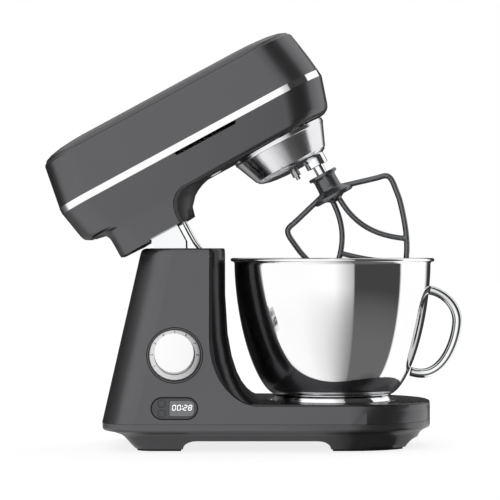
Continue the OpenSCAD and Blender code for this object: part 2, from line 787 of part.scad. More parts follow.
// ---- inside the head ----
bearing_gap = 3;
chassis_z = head_floor_z + 3;
chassis_t = 4;
case_r = 47;
case_in_r = ring_teeth * gear_module / 2 + 6.5;
case_top_z = chassis_z + 34;
gear_z = chassis_z + 8;
gear_t = 10;
bearing_out = 17.5;
bearing_in = 7.5;
bearing_t = 9;
pulley_z = case_top_z + 20;
belt_w = 14;
motor_x = -motor_back;
motor_z = chassis_z + chassis_t;
main_r = bearing_in;
module head_chassis() {
    color("#8f9194")
    placed() difference() {
        union() {
            translate([0, 0, chassis_z]) linear_extrude(chassis_t) difference() {
                polygon(outline([0, -head_rear + 24, head_front - 26, 54, 50, 24, 30, 34]));
                circle(r = case_in_r);
                translate([motor_x, 0]) circle(r = 9);
                for (x = [-90, -75], s = [-1, 1]) translate([x, s * 22]) circle(r = 6);
            }
            // Legs that stand on the neck's floor over the hinge arms
            for (x = [neck_back + 20, -column_front - 24], s = [-1, 1])
                translate([x, s * (arm_y + arm_t / 2), neck_z + wall])
                    cylinder(r = 7, h = chassis_z - neck_z - wall + eps);
            // Low ribs along both edges
            for (s = [-1, 1]) translate([-head_rear + 60, s * 49 - 1.5, chassis_z + chassis_t - eps]) cube([120, 3, 6]);
        }
        for (x = [neck_back + 20, -column_front - 24], s = [-1, 1])
            translate([x, s * (arm_y + arm_t / 2), neck_z - 1]) cylinder(r = 2.1, h = 30);
    }
}
module arm_side() {
    rotate([90, 0, 0]) linear_extrude(arm_t) difference() {
        union() {
            translate([pivot_x, pivot_z]) circle(r = 14);
            polygon([
                [pivot_x - 6, pivot_z + 12.6], [pivot_x + 14, pivot_z + 15], [pivot_x + 21, pivot_z + 20],
                [pivot_x + 24.5, pivot_z + 28], [pivot_x + 24.5, neck_z], [pivot_x + 58, neck_z],
                [pivot_x + 58, pivot_z + 26], [pivot_x + 50, pivot_z + 10], [pivot_x + 34, pivot_z - 4],
                [pivot_x + 6, pivot_z - 12.6]
            ]);
        }
        translate([pivot_x, pivot_z]) circle(r = pin_r + run_fit);
    }
}
module hinge_arms() {
    color("#c9cbcd")
    placed() {
        translate([0, arm_y + arm_t, 0]) arm_side();
        translate([0, -arm_y, 0]) arm_side();
        translate([pivot_x + 24.5, -arm_y - eps, neck_z - 5]) cube([33.5, 2 * arm_y + 2 * eps, 5]);
    }
}
bail_y = 18;
bail_r = 2.5;
bail_x = -column_front - 15.1;
bail_foot_z = pivot_z - 6;
module bail_leg() {
    translate([bail_x, 0, neck_z - 20]) cylinder(r = bail_r, h = 20);
    translate([bail_x, 0, neck_z - 20]) sphere(r = bail_r);
    translate([bail_x, 0, neck_z - 20])
        rotate([0, 180 - atan(5 / (neck_z - 20 - bail_foot_z)), 0])
            cylinder(r = bail_r, h = norm([5, neck_z - 20 - bail_foot_z]));
}
module tilt_bail() {
    $fn = 16;
    color("#dcdddf")
    placed() merged() {
        for (s = [-1, 1]) translate([0, s * bail_y, 0]) bail_leg();
        translate([bail_x + 5, 0, bail_foot_z]) {
            rotate([90, 0, 0]) cylinder(r = bail_r, h = 2 * bail_y, center = true);
            for (s = [-1, 1]) translate([0, s * bail_y, 0]) sphere(r = bail_r);
        }
    }
}
hub_z0 = under_z - 1.4;
hub_low_z = hub_z0 - hub_h;
dome_h = 8.5;
collar_r = 12.4;
collar_low_z = hub_low_z - 15.4;
collar_top_z = hub_low_z - 3;
module gear_case() {
    color("#9b9da0")
    placed() difference() {
        rotate_extrude() polygon([
            [case_in_r, chassis_z + chassis_t], [case_r + 7, chassis_z + chassis_t],
            [case_r + 7, chassis_z + chassis_t + 4],
            [case_r, chassis_z + chassis_t + 4], [case_r, case_top_z - 3], [case_r - 3, case_top_z],
            [bearing_out + 5, case_top_z], [bearing_out + 4, pulley_z - 3], [bearing_out, pulley_z - 3],
            [bearing_out, pulley_z - 3 - 2 * bearing_t - bearing_gap],
            [bearing_out - 4, pulley_z - 3 - 2 * bearing_t - bearing_gap],
            [bearing_out - 4, case_top_z - 5], [case_in_r, case_top_z - 5]
        ]);
        for (k = [0 : 5])
            rotate(30 + 60 * k) translate([case_r + 3.6, 0, chassis_z + chassis_t - 1]) cylinder(r = screw_r + 0.2, h = 10);
    }
}
screw_r = 1.9;
module chassis_screws() {
    color("#6f7173")
    placed() for (k = [0 : 5])
        rotate(30 + 60 * k) translate([case_r + 3.6, 0, chassis_z + chassis_t + 4]) {
            translate([0, 0, -3.9]) cylinder(r = screw_r, h = 4);
            difference() {
                cylinder(r = screw_r + 1.4, h = 2.6);
                translate([0, 0, 1.4]) cylinder(r = 1.5, h = 2, $fn = 6);
            }
        }
}
// One tooth: root and tip on both flanks, widths as shares of the pitch
function gear_points(teeth, pitch_r, add, ded, tip, root) =
    [for (k = [0 : teeth - 1], c = [[-root, -ded], [-0.21, 0], [-tip, add], [tip, add], [0.21, 0], [root, -ded]])
        let (a = (k + c[0]) * 360 / teeth, r = pitch_r + c[1])
        [r * cos(a), r * sin(a)]];
module ring_gear() {
    pitch = ring_teeth * gear_module / 2;
    color("#b9bbbd")
    placed() translate([0, 0, gear_z]) difference() {
        cylinder(r = case_in_r, h = gear_t);
        // the spaces, drawn as the teeth of a wheel that fills them
        translate([0, 0, -1]) linear_extrude(gear_t + 2)
            polygon(gear_points(ring_teeth, pitch, 1.15 * gear_module, 0.8 * gear_module, 0.17, 0.36));
    }
}
module tool_pinion() {
    pitch = pinion_teeth * gear_module / 2;
    color("#aeb0b2")
    placed() translate([tool_offset, 0, gear_z + 0.5]) difference() {
        linear_extrude(gear_t - 1)
            polygon(gear_points(pinion_teeth, pitch, 0.85 * gear_module, 1.1 * gear_module, 0.1, 0.3));
        translate([0, 0, -1]) cylinder(r = shaft_r, h = gear_t + 2);
    }
}
module one_bearing() {
    ball_r = 2.4;
    mid = (bearing_out + bearing_in) / 2;
    difference() {
        cylinder(r = bearing_out, h = bearing_t);
        translate([0, 0, -1]) cylinder(r = mid + 1.6, h = bearing_t + 2);
        translate([0, 0, bearing_t / 2]) rotate_extrude() translate([mid, 0]) circle(r = ball_r + 0.05);
    }
    difference() {
        cylinder(r = mid - 1.6, h = bearing_t);
        translate([0, 0, -1]) cylinder(r = main_r + run_fit, h = bearing_t + 2);
        translate([0, 0, bearing_t / 2]) rotate_extrude() translate([mid, 0]) circle(r = ball_r + 0.05);
    }
    for (k = [0 : 7]) rotate(45 * k) translate([mid, 0, bearing_t / 2]) sphere(r = ball_r);
}
module shaft_bearings() {
    color("#c9cbcd")
    placed() for (k = [1, 2])
        translate([0, 0, pulley_z - 3 - k * bearing_t - (k - 1) * bearing_gap]) one_bearing();
}
can_h = pulley_z - 7 - motor_z;
rotor_r = 4;
module motor_body() {
    color("#7d7f82")
    placed() translate([motor_x, 0, motor_z]) difference() {
        rotate_extrude() polygon([
            [8, 0], [motor_r, 0], [motor_r, can_h - 4], [motor_r - 4, can_h], [rotor_r + 7, can_h], [rotor_r + 7, can_h + 2],
            [rotor_r + run_fit, can_h + 2], [rotor_r + run_fit, can_h - 4], [motor_r - 5, can_h - 4],
            [motor_r - 5, can_h - 10], [27, can_h - 10], [27, 12], [motor_r - 5, 12], [motor_r - 5, 3], [8, 3]
        ]);
        for (k = [0 : 11]) rotate(30 * k) translate([motor_r - 8, -2, can_h - 8]) cube([10, 4, 3]);
    }
}
module motor_rotor() {
    color("#b7773a")
    placed() translate([motor_x, 0, motor_z]) {
        cylinder(r = rotor_r, h = pulley_z + belt_w + 1 - motor_z);
        difference() {
            translate([0, 0, 11]) cylinder(r = 26, h = can_h - 20);
            for (k = [0 : 11]) rotate(30 * k) translate([21, -1.2, 10]) cube([8, 2.4, can_h]);
        }
        // cooling fan under the windings
        translate([0, 0, 4]) {
            cylinder(r = 9, h = 5.5);
            for (k = [0 : 8]) rotate(40 * k) translate([8, -0.8, 0]) cube([24, 1.6, 5.5]);
        }
        translate([0, 0, pulley_z - motor_z]) cylinder(r = motor_pulley_r, h = belt_w);
        for (z = [-1.5, belt_w]) translate([0, 0, pulley_z - motor_z + z]) cylinder(r = motor_pulley_r + 3, h = 1.5);
    }
}
belt_t = 2;
belt_steps = 36;
// Outline round both pulleys, straight between them
function arc(cx, r, from, sweep_a) =
    [for (k = [0 : belt_steps]) let (a = from + sweep_a * k / belt_steps) [cx + r * cos(a), r * sin(a)]];
module belt_loop(grow) {
    lean = asin((pulley_r - motor_pulley_r) / motor_back);
    polygon(concat(
        arc(0, pulley_r + grow, -90 - lean, 180 + 2 * lean),
        arc(motor_x, motor_pulley_r + grow, 90 + lean, 180 - 2 * lean)
    ));
}
module drive_belt() {
    color("#1c1c1c")
    placed() translate([0, 0, pulley_z + 1]) linear_extrude(belt_w - 2) difference() {
        belt_loop(0.1 + belt_t);
        belt_loop(0.1);
    }
}
module driven_pulley() {
    color("#3f4143")
    placed() translate([0, 0, pulley_z]) difference() {
        rotate_extrude() polygon(concat(
            [[main_r, 0], [14, 0], [14, 4], [pulley_r - 6, 4], [pulley_r - 6, 0], [pulley_r, 0]],
            [for (k = [0 : 5]) each [[pulley_r, 2 + k * 2], [pulley_r - 1, 2.9 + k * 2], [pulley_r, 3.8 + k * 2]]],
            [[pulley_r, belt_w], [pulley_r - 6, belt_w], [pulley_r - 6, 9], [14, 9], [14, belt_w], [main_r, belt_w]]
        ));
        for (k = [0 : 5]) rotate(60 * k) translate([(pulley_r + 8) / 2, 0, -1]) cylinder(r = 8, h = belt_w + 2);
    }
}
module main_shaft() {
    color("#c4c6c8")
    placed() rotate_extrude() polygon([
        [0, collar_low_z - 3], [2.5, collar_low_z - 3], [2.5, collar_low_z + 1], [4.75, collar_low_z + 1],
        [4.75, hub_low_z - dome_h + 0.4], [main_r, hub_low_z - dome_h + 0.4], [main_r, pulley_z + belt_w + 3],
        [main_r - 1, pulley_z + belt_w + 4], [0, pulley_z + belt_w + 4]
    ]);
}
hub_wall = 3.5;
module planet_hub() {
    dome = [for (k = [0 : 6]) [hub_low_r * sin(k * 15), hub_low_z - dome_h * cos(k * 15)]];
    color("#cfd1d3")
    placed() difference() {
        union() {
            rotate_extrude() polygon(concat(
                dome,
                [[hub_low_r + 1, hub_low_z + 0.6], [hub_top_r - 0.8, hub_z0 - 5], [hub_top_r, hub_z0 - 4.2],
                 [hub_top_r, hub_z0], [hub_top_r - hub_wall, hub_z0], [hub_low_r - 1, hub_low_z + hub_wall],
                 [0, hub_low_z + hub_wall]]
            ));
            translate([0, 0, hub_low_z]) cylinder(r = main_r + 6, h = gear_z - 1 - hub_low_z);
            translate([tool_offset, 0, hub_low_z]) cylinder(r = shaft_r + 5, h = gear_z - 1 - hub_low_z);
            translate([0, -3, hub_low_z]) cube([tool_offset, 6, gear_z - 6 - hub_low_z]);
        }
        translate([0, 0, hub_low_z - 20]) cylinder(r = main_r, h = 100);
        translate([tool_offset, 0, hub_low_z - 20]) cylinder(r = shaft_r + run_fit, h = 100);
        translate([tool_offset, 0, hub_low_z - 20]) cylinder(r = collar_r, h = 20 + collar_top_z - hub_low_z);
    }
}
module shaft_collar() {
    color("#d8d9db")
    placed() translate([tool_offset, 0, 0]) rotate_extrude() polygon([
        [shaft_r + run_fit, collar_low_z], [collar_r - 0.6, collar_low_z], [collar_r, collar_low_z + 0.6],
        [collar_r, collar_top_z], [shaft_r + run_fit, collar_top_z]
    ]);
}

// ---- tool shaft and flat beater ----
hub_gap = 9.6;
beater_top_z = collar_low_z - hub_gap;
pin_z = beater_top_z - 5;
cross_pin_r = 1.6;
shaft_end_z = beater_top_z - 17;
module tool_shaft() {
    color("#cfd1d3")
    placed() translate([tool_offset, 0, 0]) union() {
        translate([0, 0, shaft_end_z]) cylinder(r = shaft_r, h = gear_z + gear_t + 2 - shaft_end_z);
        translate([0, 0, pin_z]) rotate([90, 0, 0]) cylinder(r = cross_pin_r, h = 19, center = true);
    }
}
bowl_bottom_z = foot_bottom_z + 11;
function bez(a, b, c, d, n) =
    [for (k = [0 : n]) let (t = k / n, s = 1 - t) s * s * s * a + 3 * s * s * t * b + 3 * s * t * t * c + t * t * t * d];
// Rod along a path in the XZ plane, oval in section
rod_sides = 8;
module rod(path, rx, ry) {
    n = len(path);
    skin([for (i = [0 : n - 1])
        let (d = path[min(i + 1, n - 1)] - path[max(i - 1, 0)], u = d / norm(d))
        [for (k = [0 : rod_sides - 1])
            let (a = (k + 0.5) * 360 / rod_sides, grow = 1 / cos(180 / rod_sides))
            let (c = rx * grow * cos(a), s = -ry * grow * sin(a))
            [path[i][0] - u[1] * c, s, path[i][1] + u[0] * c]]]);
}
tip_z = bowl_bottom_z + bowl_t + beater_gap + rod_d / 2;
shoulder_z = beater_top_z - 34.5;
frame_w = beater_half_w - rod_d / 2;
function mirrored(path) = [for (p = path) [-p[0], p[1]]];
frame_half = concat(
    [[14, beater_top_z - 22.5]],
    bez([frame_w - 13, shoulder_z + 1.4], [frame_w - 3.4, shoulder_z + 0.1], [frame_w - 0.7, shoulder_z - 1.7],
        [frame_w - 1.7, shoulder_z - 13], 4),
    bez([frame_w - 3.9, shoulder_z - 30], [frame_w - 8.9, shoulder_z - 50.5], [frame_w - 14.9, shoulder_z - 76.5],
        [frame_w - 36, tip_z + 4], 6),
    bez([frame_w - 42, tip_z + 1.2], [frame_w - 48, tip_z], [12, tip_z], [0, tip_z], 2)
);
wing = bez([4, beater_top_z - 32], [4, beater_top_z - 62], [16, beater_top_z - 86],
    [frame_w - 18.4, beater_top_z - 106.5], 6);
tail = bez([-24, beater_top_z - 86], [-12, beater_top_z - 97], [4, beater_top_z - 112],
    [frame_w - 38, tip_z + 4], 4);
module beater_frame() {
    half_d = rod_d / 2;
    deep = 4;
    other_half = [for (i = [len(frame_half) - 2 : -1 : 0]) [-frame_half[i][0], frame_half[i][1]]];
    rod(concat(frame_half, other_half), half_d, deep);
    rod(wing, half_d, deep - 0.4);
    rod(mirrored(wing), half_d, deep - 0.6);
    rod(tail, half_d - 0.2, deep - 0.8);
}
module flat_beater() {
    color("#3c3d3f")
    placed() translate([tool_offset, 0, 0]) difference() {
        union() {
            rotate_extrude() polygon([
                [0, beater_top_z - 34.4], [4.5, beater_top_z - 34.4], [8, beater_top_z - 30], [20, beater_top_z - 30],
                [23, beater_top_z - 28.6], [23, beater_top_z - 25], [20.6, beater_top_z - 24], [14.2, beater_top_z - 19.6],
                [13, beater_top_z - 18.4], [12.6, beater_top_z - 5], [13.4, beater_top_z - 3.6], [16.4, beater_top_z - 3.6],
                [16.4, beater_top_z - 0.8], [15.8, beater_top_z], [0, beater_top_z]
            ]);
            merged() beater_frame();
        }
        translate([0, 0, shaft_end_z - beater_lift - free_gap]) cylinder(r = shaft_r + run_fit, h = 40);
        translate([-cross_pin_r - 0.3, -10, pin_z - cross_pin_r - beater_lift - 0.3])
            cube([2 * cross_pin_r + 0.6, 20, 2 * cross_pin_r + beater_lift + 0.6]);
    }
}

// ---- bowl ----
wall_top_z = rim_z - 5.7;
function bowl_curve(t, r_top, r_low, z_low) =
    [r_low + (r_top - r_low) * pow(sin(t), 2 / 1.7), wall_top_z - (wall_top_z - z_low) * pow(cos(t), 2 / 1.75)];
bowl_steps = 14;
function bowl_outside() =
    [for (k = [0 : bowl_steps]) bowl_curve(90 * k / bowl_steps, bowl_r, bowl_floor_r, bowl_bottom_z)];
function bowl_inside() = [for (k = [0 : bowl_steps])
    bowl_curve(90 * k / bowl_steps, bowl_r - bowl_t, bowl_floor_r - bowl_t / 2, bowl_bottom_z + bowl_t)];
module bowl() {
    color("#d4d6d8") standing()
    rotate_extrude($fn = 128) union() {
        polygon(concat(
            [[0, bowl_bottom_z]], bowl_outside(),
            [[rim_r - bead_r, rim_z - 1.6 * bead_r], [rim_r - bead_r, rim_z - 0.6 * bead_r]],
            [[bowl_r - bowl_t, wall_top_z + 1.6]],
            flip(bowl_inside()), [[0, bowl_bottom_z + bowl_t]]
        ));
        translate([rim_r - bead_r, rim_z - bead_r]) circle(r = bead_r, $fn = 24);
    }
}
foot_t = 1.2;
module bowl_foot() {
    color("#cccecf") standing()
    union() {
        rotate_extrude($fn = 128) polygon([
            [foot_r - foot_t, foot_bottom_z], [foot_r, foot_bottom_z], [foot_r - 0.2, foot_bottom_z + 3],
            [foot_r - 1.2, bowl_bottom_z - 1.6], [foot_r - 2.8, bowl_bottom_z], [bowl_floor_r - 5.5, bowl_bottom_z],
            [bowl_floor_r - 5.5, bowl_bottom_z - 1.2], [foot_r - 3.4, bowl_bottom_z - 1.4], [foot_r - 1.4, foot_bottom_z + 3]
        ]);
        for (k = [0 : lug_count - 1])
            rotate(120 * k - lug_half_angle) rotate_extrude(angle = 2 * lug_half_angle)
                translate([lug_in_r, lug_low_z]) square([foot_r - foot_t - lug_in_r + 0.4, lug_t]);
    }
}
strap_w = 16;
strap_t = 3.6;
function on_wall(k) = bowl_curve(90 * k / bowl_steps, bowl_r, bowl_floor_r, bowl_bottom_z);
module bowl_handle() {
    r = handle_t / 2;
    out = handle_reach - r;
    top = rim_z - 35.4;
    grip = rim_z - 68.2;
    low = rim_z - 126.8;
    loop = concat(
        bez([bowl_r - 0.5, top], [out - 17.4, top - 1.8], [out - 0.9, top - 14.3], [out, grip], 6),
        [for (i = [1 : 6]) bez([out, grip], [out, grip - 19.5], [out - 12.4, low + 2.6], [out - 36.5, low], 6)[i]],
        [[on_wall(5)[0] + 8, low + 0.3], [on_wall(5)[0] + 1.6, low + 2]]
    );
    color("#d8dadc") standing()
    merged() union() {
        rod(loop, r, handle_w / 2);
        rotate([90, 0, 0]) linear_extrude(strap_w, center = true) {
            pts = [for (k = [4.4 : 0.5 : 9.9]) on_wall(k)];
            polygon(concat([for (p = pts) p + [0.25, -0.05]], flip([for (p = pts) p + [0.25 + strap_t, -0.8]])));
        }
    }
}
// ---- small pieces of the head ----
module work_light() {
    color("#f4f4f0")
    placed() translate([light_x, 0, under_z]) rotate_extrude() polygon(concat(
        [[0, 4]], [[light_r - 1.4, 4], [light_r, 3.4], [light_r, 0]],
        [for (k = [1 : 5]) [light_r * cos(k * 18), -1.8 * sin(k * 18)]]
    ));
}
nose_x = head_nose(hub_z);
socket_r = 9;
cover_back = nose_x - 10.4;
module hub_socket() {
    color("#86888b")
    placed() translate([0, 0, hub_z]) rotate([0, 90, 0]) difference() {
        union() {
            translate([0, 0, cover_back - 10]) cylinder(r = 17, h = 8);
            translate([0, 0, cover_back - 3.5]) cylinder(r = hub_cover_r - 1, h = 3);
        }
        translate([0, 0, cover_back - 8]) cylinder(r = socket_r, h = 20);
        translate([0, 0, cover_back - 11]) cylinder(r = 6, h = 6, $fn = 4);
    }
}
// The cap over the attachment hub carries on the nose's own surface
module hub_cover() {
    reach = hub_cover_r + 3;
    color("#4f4f51")
    placed() union() {
        intersection() {
            skin([for (z = [hub_z - reach, band_z, upper_z, upper_z + 16, hub_z + reach]) ring(head_section(z))]);
            translate([cover_back, 0, hub_z]) rotate([0, 90, 0]) cylinder(r = hub_cover_r, h = 40);
        }
        translate([cover_back - 7.4, 0, hub_z]) rotate([0, 90, 0]) cylinder(r = socket_r - free_gap, h = 8);
    }
}

base_housing();
front_panel();
base_cover();
foot_pads();
bowl_seat();
cord_gland();
column_frame();
hinge_pin();
rest_buffers();
dial_ring();
speed_encoder();
display_bezel();
display_window();
control_board();
power_board();
speed_knob();
timer_button();
reset_button();
release_button();
latch_slider();
head_lower_housing();
underside_panel();
trim_band();
head_top_cover();
top_panel();
head_chassis();
hinge_arms();
tilt_bail();
gear_case();
ring_gear();
shaft_bearings();
motor_body();
drive_belt();
work_light();
hub_socket();
chassis_screws();
hub_cover();
motor_rotor();
planet_hub();
main_shaft();
driven_pulley();
tool_shaft();
tool_pinion();
shaft_collar();
flat_beater();
bowl();
bowl_foot();
bowl_handle();
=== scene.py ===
"""Looks of the tilt-head stand mixer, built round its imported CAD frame.

Metres, Z up, with the bowl towards +X and the controls on -Y."""

import json
import math

import bmesh
import bpy
from bpy.props import FloatProperty, IntProperty, PointerProperty, StringProperty
from mathutils import Matrix, Vector


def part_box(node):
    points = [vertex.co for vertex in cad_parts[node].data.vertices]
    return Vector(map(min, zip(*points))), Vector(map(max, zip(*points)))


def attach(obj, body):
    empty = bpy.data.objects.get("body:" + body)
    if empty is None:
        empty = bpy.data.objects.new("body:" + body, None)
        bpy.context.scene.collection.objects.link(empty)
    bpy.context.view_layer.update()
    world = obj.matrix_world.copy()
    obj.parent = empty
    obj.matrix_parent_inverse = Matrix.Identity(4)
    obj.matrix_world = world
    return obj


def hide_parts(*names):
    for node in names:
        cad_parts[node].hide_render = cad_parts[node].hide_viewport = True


bl_info = {
    "name": "Stand mixer",
    "version": (1, 0, 0),
    "blender": (4, 5, 0),
    "location": "3D View > Sidebar > Mixer",
    "description": "Builds the visible pieces and finishes of a tilt-head stand mixer",
    "category": "Add Mesh",
}

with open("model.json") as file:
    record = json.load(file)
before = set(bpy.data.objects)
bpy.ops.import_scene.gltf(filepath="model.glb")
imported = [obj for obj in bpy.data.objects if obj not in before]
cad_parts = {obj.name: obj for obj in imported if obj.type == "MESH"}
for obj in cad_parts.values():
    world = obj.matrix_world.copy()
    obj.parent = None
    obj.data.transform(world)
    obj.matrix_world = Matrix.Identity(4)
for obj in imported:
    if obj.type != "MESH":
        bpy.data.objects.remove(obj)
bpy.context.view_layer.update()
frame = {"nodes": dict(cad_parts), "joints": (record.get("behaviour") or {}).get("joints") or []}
JOINTS = {j["name"]: j for j in frame["joints"]}
MM = 0.001

# ---- places taken from the frame ----
BOWL_X = JOINTS["bowl_twist"]["pos_m"][0]
PIVOT = Vector(JOINTS["head_tilt"]["pos_m"])
SPIN_AXIS = Vector(JOINTS["planet_spin"]["axis"])
TILT = math.atan2(-SPIN_AXIS.x, SPIN_AXIS.z)
WALL_OUT = Vector(JOINTS["speed_turn"]["axis"])
WALL_LEAN = math.asin(WALL_OUT.z)
KNOB_AT = Vector(JOINTS["speed_turn"]["pos_m"])

# Drawing frames in millimetres: from the bowl's axis for the stand, and with the head level for the head
STAND = Matrix.Translation((BOWL_X, 0, 0)) @ Matrix.Scale(MM, 4)
HEAD = (
    Matrix.Translation(PIVOT)
    @ Matrix.Rotation(-TILT, 4, "Y")
    @ Matrix.Translation(-PIVOT)
    @ STAND
)


def on_wall(at):
    """Drawing frame in millimetres on the near side wall: Z leaves the wall and Y runs up it."""
    return Matrix.Translation(at) @ Matrix.Rotation(math.pi / 2 - WALL_LEAN, 4, "X") @ Matrix.Scale(MM, 4)


# Sizes in drawing millimetres. Radii and reaches are from the bowl's axis and heights are above the table
BOWL = {
    "rim_r": 112.0,
    "rim_z": 205.7,
    "wall_r": 107.8,
    "wall_top": 200.0,
    "floor_r": 62.0,
    "bottom": 56.0,
    "sheet": 0.9,
}
# Powers of the bowl wall's curve, for its radius and for its height
WALL_R_POWER, WALL_Z_POWER = 2 / 1.7, 2 / 1.75
# The reach of the handle's middle line, the heights of its two ends and its middle, and its section
HANDLE = {"out": 137.4, "top": 170.3, "mid": 137.5, "low": 78.9, "thick": 10.0, "wide": 22.0}
# The beater's axis in front of the hub's, its top with the head level, half the width that its outer bars' middle
# lines are drawn to, half a bar's depth, and the height of its lowest bar's middle line
BEATER = {"axis": 25.2, "top": 194.0, "half_w": 65.85, "deep": 4.0, "tip": 65.05}
BEATER_BORE_R = 6.05
# Fusing of the beater's bars: size of the skin's cells and passes of smoothing
CASTING_CELL, CASTING_PASSES = 0.62, 5
# Heights of the knob's and the display's middles on the wall
KNOB_Z, DISPLAY_Z = 102.6, 46.8
# The dial's black rings, painted shade for the dark edges of its groove, and the lacquered step between them, as inner
# and outer radius
DIAL_SHADE_RINGS = ((27.35, 28.1), (29.3, 30.2))
DIAL_STEP = (28.15, 29.25)
# The dial's numbers: angle of the first, angle between two, size, and their circle's radius and height
FIRST_NUMBER, NUMBER_STEP, NUMBER_SIZE, NUMBER_R, NUMBER_Z = 210, 30, 4.0, 24.1, 4.16
# The display from its middle: the screen's centre, width and height, and the keys' centres
SCREEN_X, SCREEN_W, SCREEN_H = 8, 26.3, 16.4
KEY_X, KEY_YS = -13.5, (-5.3, 5.3)
# The timer's digits: width, height, bar and lean, the pitch between them and where the first one stands
DIGIT_W, DIGIT_H, DIGIT_BAR, DIGIT_LEAN, DIGIT_PITCH = 3.1, 5.3, 0.75, 0.14, 5.2
DIGITS_X, DIGITS_Y = SCREEN_X - 8.3, 0.9
# Angles between faces, in degrees, above which a copied edge stays sharp
SOFT_SHELL, TURNED_PART, FLAT_PART = 26, 35, 40


# ---- finishes ----
def linear(hex_colour):
    """An sRGB hex value as linear RGBA."""
    parts = [int(hex_colour[i : i + 2], 16) / 255 for i in (1, 3, 5)]
    return [c / 12.92 if c <= 0.04045 else ((c + 0.055) / 1.055) ** 2.4 for c in parts] + [1.0]


def node(tree, kind, props=None, **inputs):
    """Adds a node with its settings, its values and the sockets that feed it."""
    n = tree.nodes.new("ShaderNode" + kind)
    for key, value in (props or {}).items():
        setattr(n, key, value)
    for key, value in inputs.items():
        socket = n.inputs[int(key[1:])] if key[1:].isdigit() else n.inputs[key.replace("_", " ")]
        if isinstance(value, bpy.types.NodeSocket):
            tree.links.new(value, socket)
        else:
            socket.default_value = value
    return n


def ramp(tree, source, stops, interpolation="LINEAR"):
    """A colour ramp over a socket, from (place, colour) stops."""
    n = node(tree, "ValToRGB", Fac=source)
    n.color_ramp.interpolation = interpolation
    while len(n.color_ramp.elements) < len(stops):
        n.color_ramp.elements.new(0.5)
    for element, (place, colour) in zip(n.color_ramp.elements, stops):
        element.position = place
        element.color = colour if len(colour) == 4 else (colour[0],) * 3 + (1,)
    return n.outputs["Color"]


def finish(
    name, hex_colour, metallic, roughness, tone=0.03, tone_mm=40.0, spread=0.06, bump=None, streaks=None, **sockets
):
    """A Principled finish whose colour and roughness wander a little, with an optional fine bump or brushed streaks.

    bump is (grain in mm, height in mm); streaks is (direction to stretch along, line spacing in mm, depth)."""
    made = bpy.data.materials.get(name)
    if made:
        return made
    m = bpy.data.materials.new(name)
    m.use_nodes = True
    t = m.node_tree
    t.nodes.clear()
    place = node(t, "TexCoord").outputs["Object"]
    cloud = node(t, "TexNoise", Vector=place, Scale=1000 / tone_mm, Detail=3.0).outputs["Fac"]
    low, high = linear(hex_colour), linear(hex_colour)
    low = [c * (1 - tone) for c in low[:3]] + [1]
    high = [min(1, c * (1 + tone)) for c in high[:3]] + [1]
    colour = ramp(t, cloud, [(0.3, low), (0.7, high)])
    rough_low, rough_high = roughness * (1 - spread), roughness * (1 + spread)
    rough = node(t, "MapRange", Value=cloud, **{"To Min": rough_low, "To Max": rough_high}).outputs["Result"]
    shader = node(t, "BsdfPrincipled", Base_Color=colour, Metallic=metallic, Roughness=rough)
    if streaks:
        stretch, spacing, depth = streaks
        lines = node(t, "Mapping", Vector=place, Scale=stretch).outputs["Vector"]
        hair = node(t, "TexNoise", Vector=lines, Scale=1000 / spacing, Detail=4.0).outputs["Fac"]
        worn = node(t, "MapRange", Value=hair, **{"To Min": roughness * 0.7, "To Max": roughness * 1.5})
        t.links.new(worn.outputs["Result"], shader.inputs["Roughness"])
        lift = node(t, "Bump", Height=hair, Strength=depth, Distance=0.0002)
        t.links.new(lift.outputs["Normal"], shader.inputs["Normal"])
    elif bump:
        grain, height = bump
        fine = node(t, "TexNoise", Vector=place, Scale=1000 / grain, Detail=2.0).outputs["Fac"]
        lift = node(t, "Bump", Height=fine, Strength=1.0, Distance=height * MM)
        t.links.new(lift.outputs["Normal"], shader.inputs["Normal"])
    for key, value in sockets.items():
        shader.inputs[key.replace("_", " ")].default_value = value
    node(t, "OutputMaterial", Surface=shader.outputs["BSDF"])
    return m


def painted_casting():
    """Aluminium casting under satin metallic lacquer: even dark grey with a soft sheen and a faint orange peel."""
    return finish("satin_lacquer_grey", look().body_hex, 0.75, 0.3, tone=0.02, bump=(1.6, 0.003))


def painted_front():
    """The same lacquer in a darker shade, on the inset front strip."""
    return finish("satin_lacquer_front", look().front_hex, 0.75, 0.27, tone=0.02, bump=(1.6, 0.003))


def painted_underside():
    """The same lacquer on the cast panel under the head, left with a rougher sheen."""
    return finish("satin_lacquer_underside", "#5a5a5c", 0.6, 0.5, tone=0.02, bump=(1.6, 0.003))


def polished_trim():
    """Stainless strip, rolled and buffed, with lines along its length."""
    return finish("buffed_stainless_strip", "#f4f4f5", 1.0, 0.08, tone=0.01, streaks=((0.04, 1.0, 1.0), 0.6, 0.05))


def polished_bowl():
    """Deep-drawn stainless sheet, polished on a lathe: a mirror with faint turning lines."""
    return finish("mirror_stainless_sheet", "#f2f2f3", 1.0, 0.04, tone=0.01, streaks=((0.03, 0.03, 1.0), 0.5, 0.02))


def bright_chrome():
    """Chromium plate over polished steel."""
    return finish("chromium_plate", "#f0f1f2", 1.0, 0.05, tone=0.01, bump=(6.0, 0.002))


def brushed_hub():
    """Stainless cone, brushed round its axis: soft bands with fine rings."""
    return finish("brushed_stainless_cone", "#e6e6e8", 1.0, 0.18, tone=0.02, streaks=((0.05, 0.05, 1.0), 0.4, 0.06))


def spun_aluminium():
    """Anodised aluminium, spun on its face."""
    return finish("anodised_spun_aluminium", "#f3f3f3", 1.0, 0.2, tone=0.01, bump=(0.6, 0.001))


def beater_coating():
    """Dark non-stick enamel, baked over cast aluminium."""
    return finish("baked_enamel_coating", "#707174", 0.7, 0.28, tone=0.04, tone_mm=12, bump=(0.9, 0.004))


def rubber():
    """Moulded nitrile rubber, matt and faintly grained."""
    return finish("moulded_nitrile_rubber", "#1b1b1c", 0.0, 0.75, tone=0.1, tone_mm=5, bump=(0.7, 0.02))


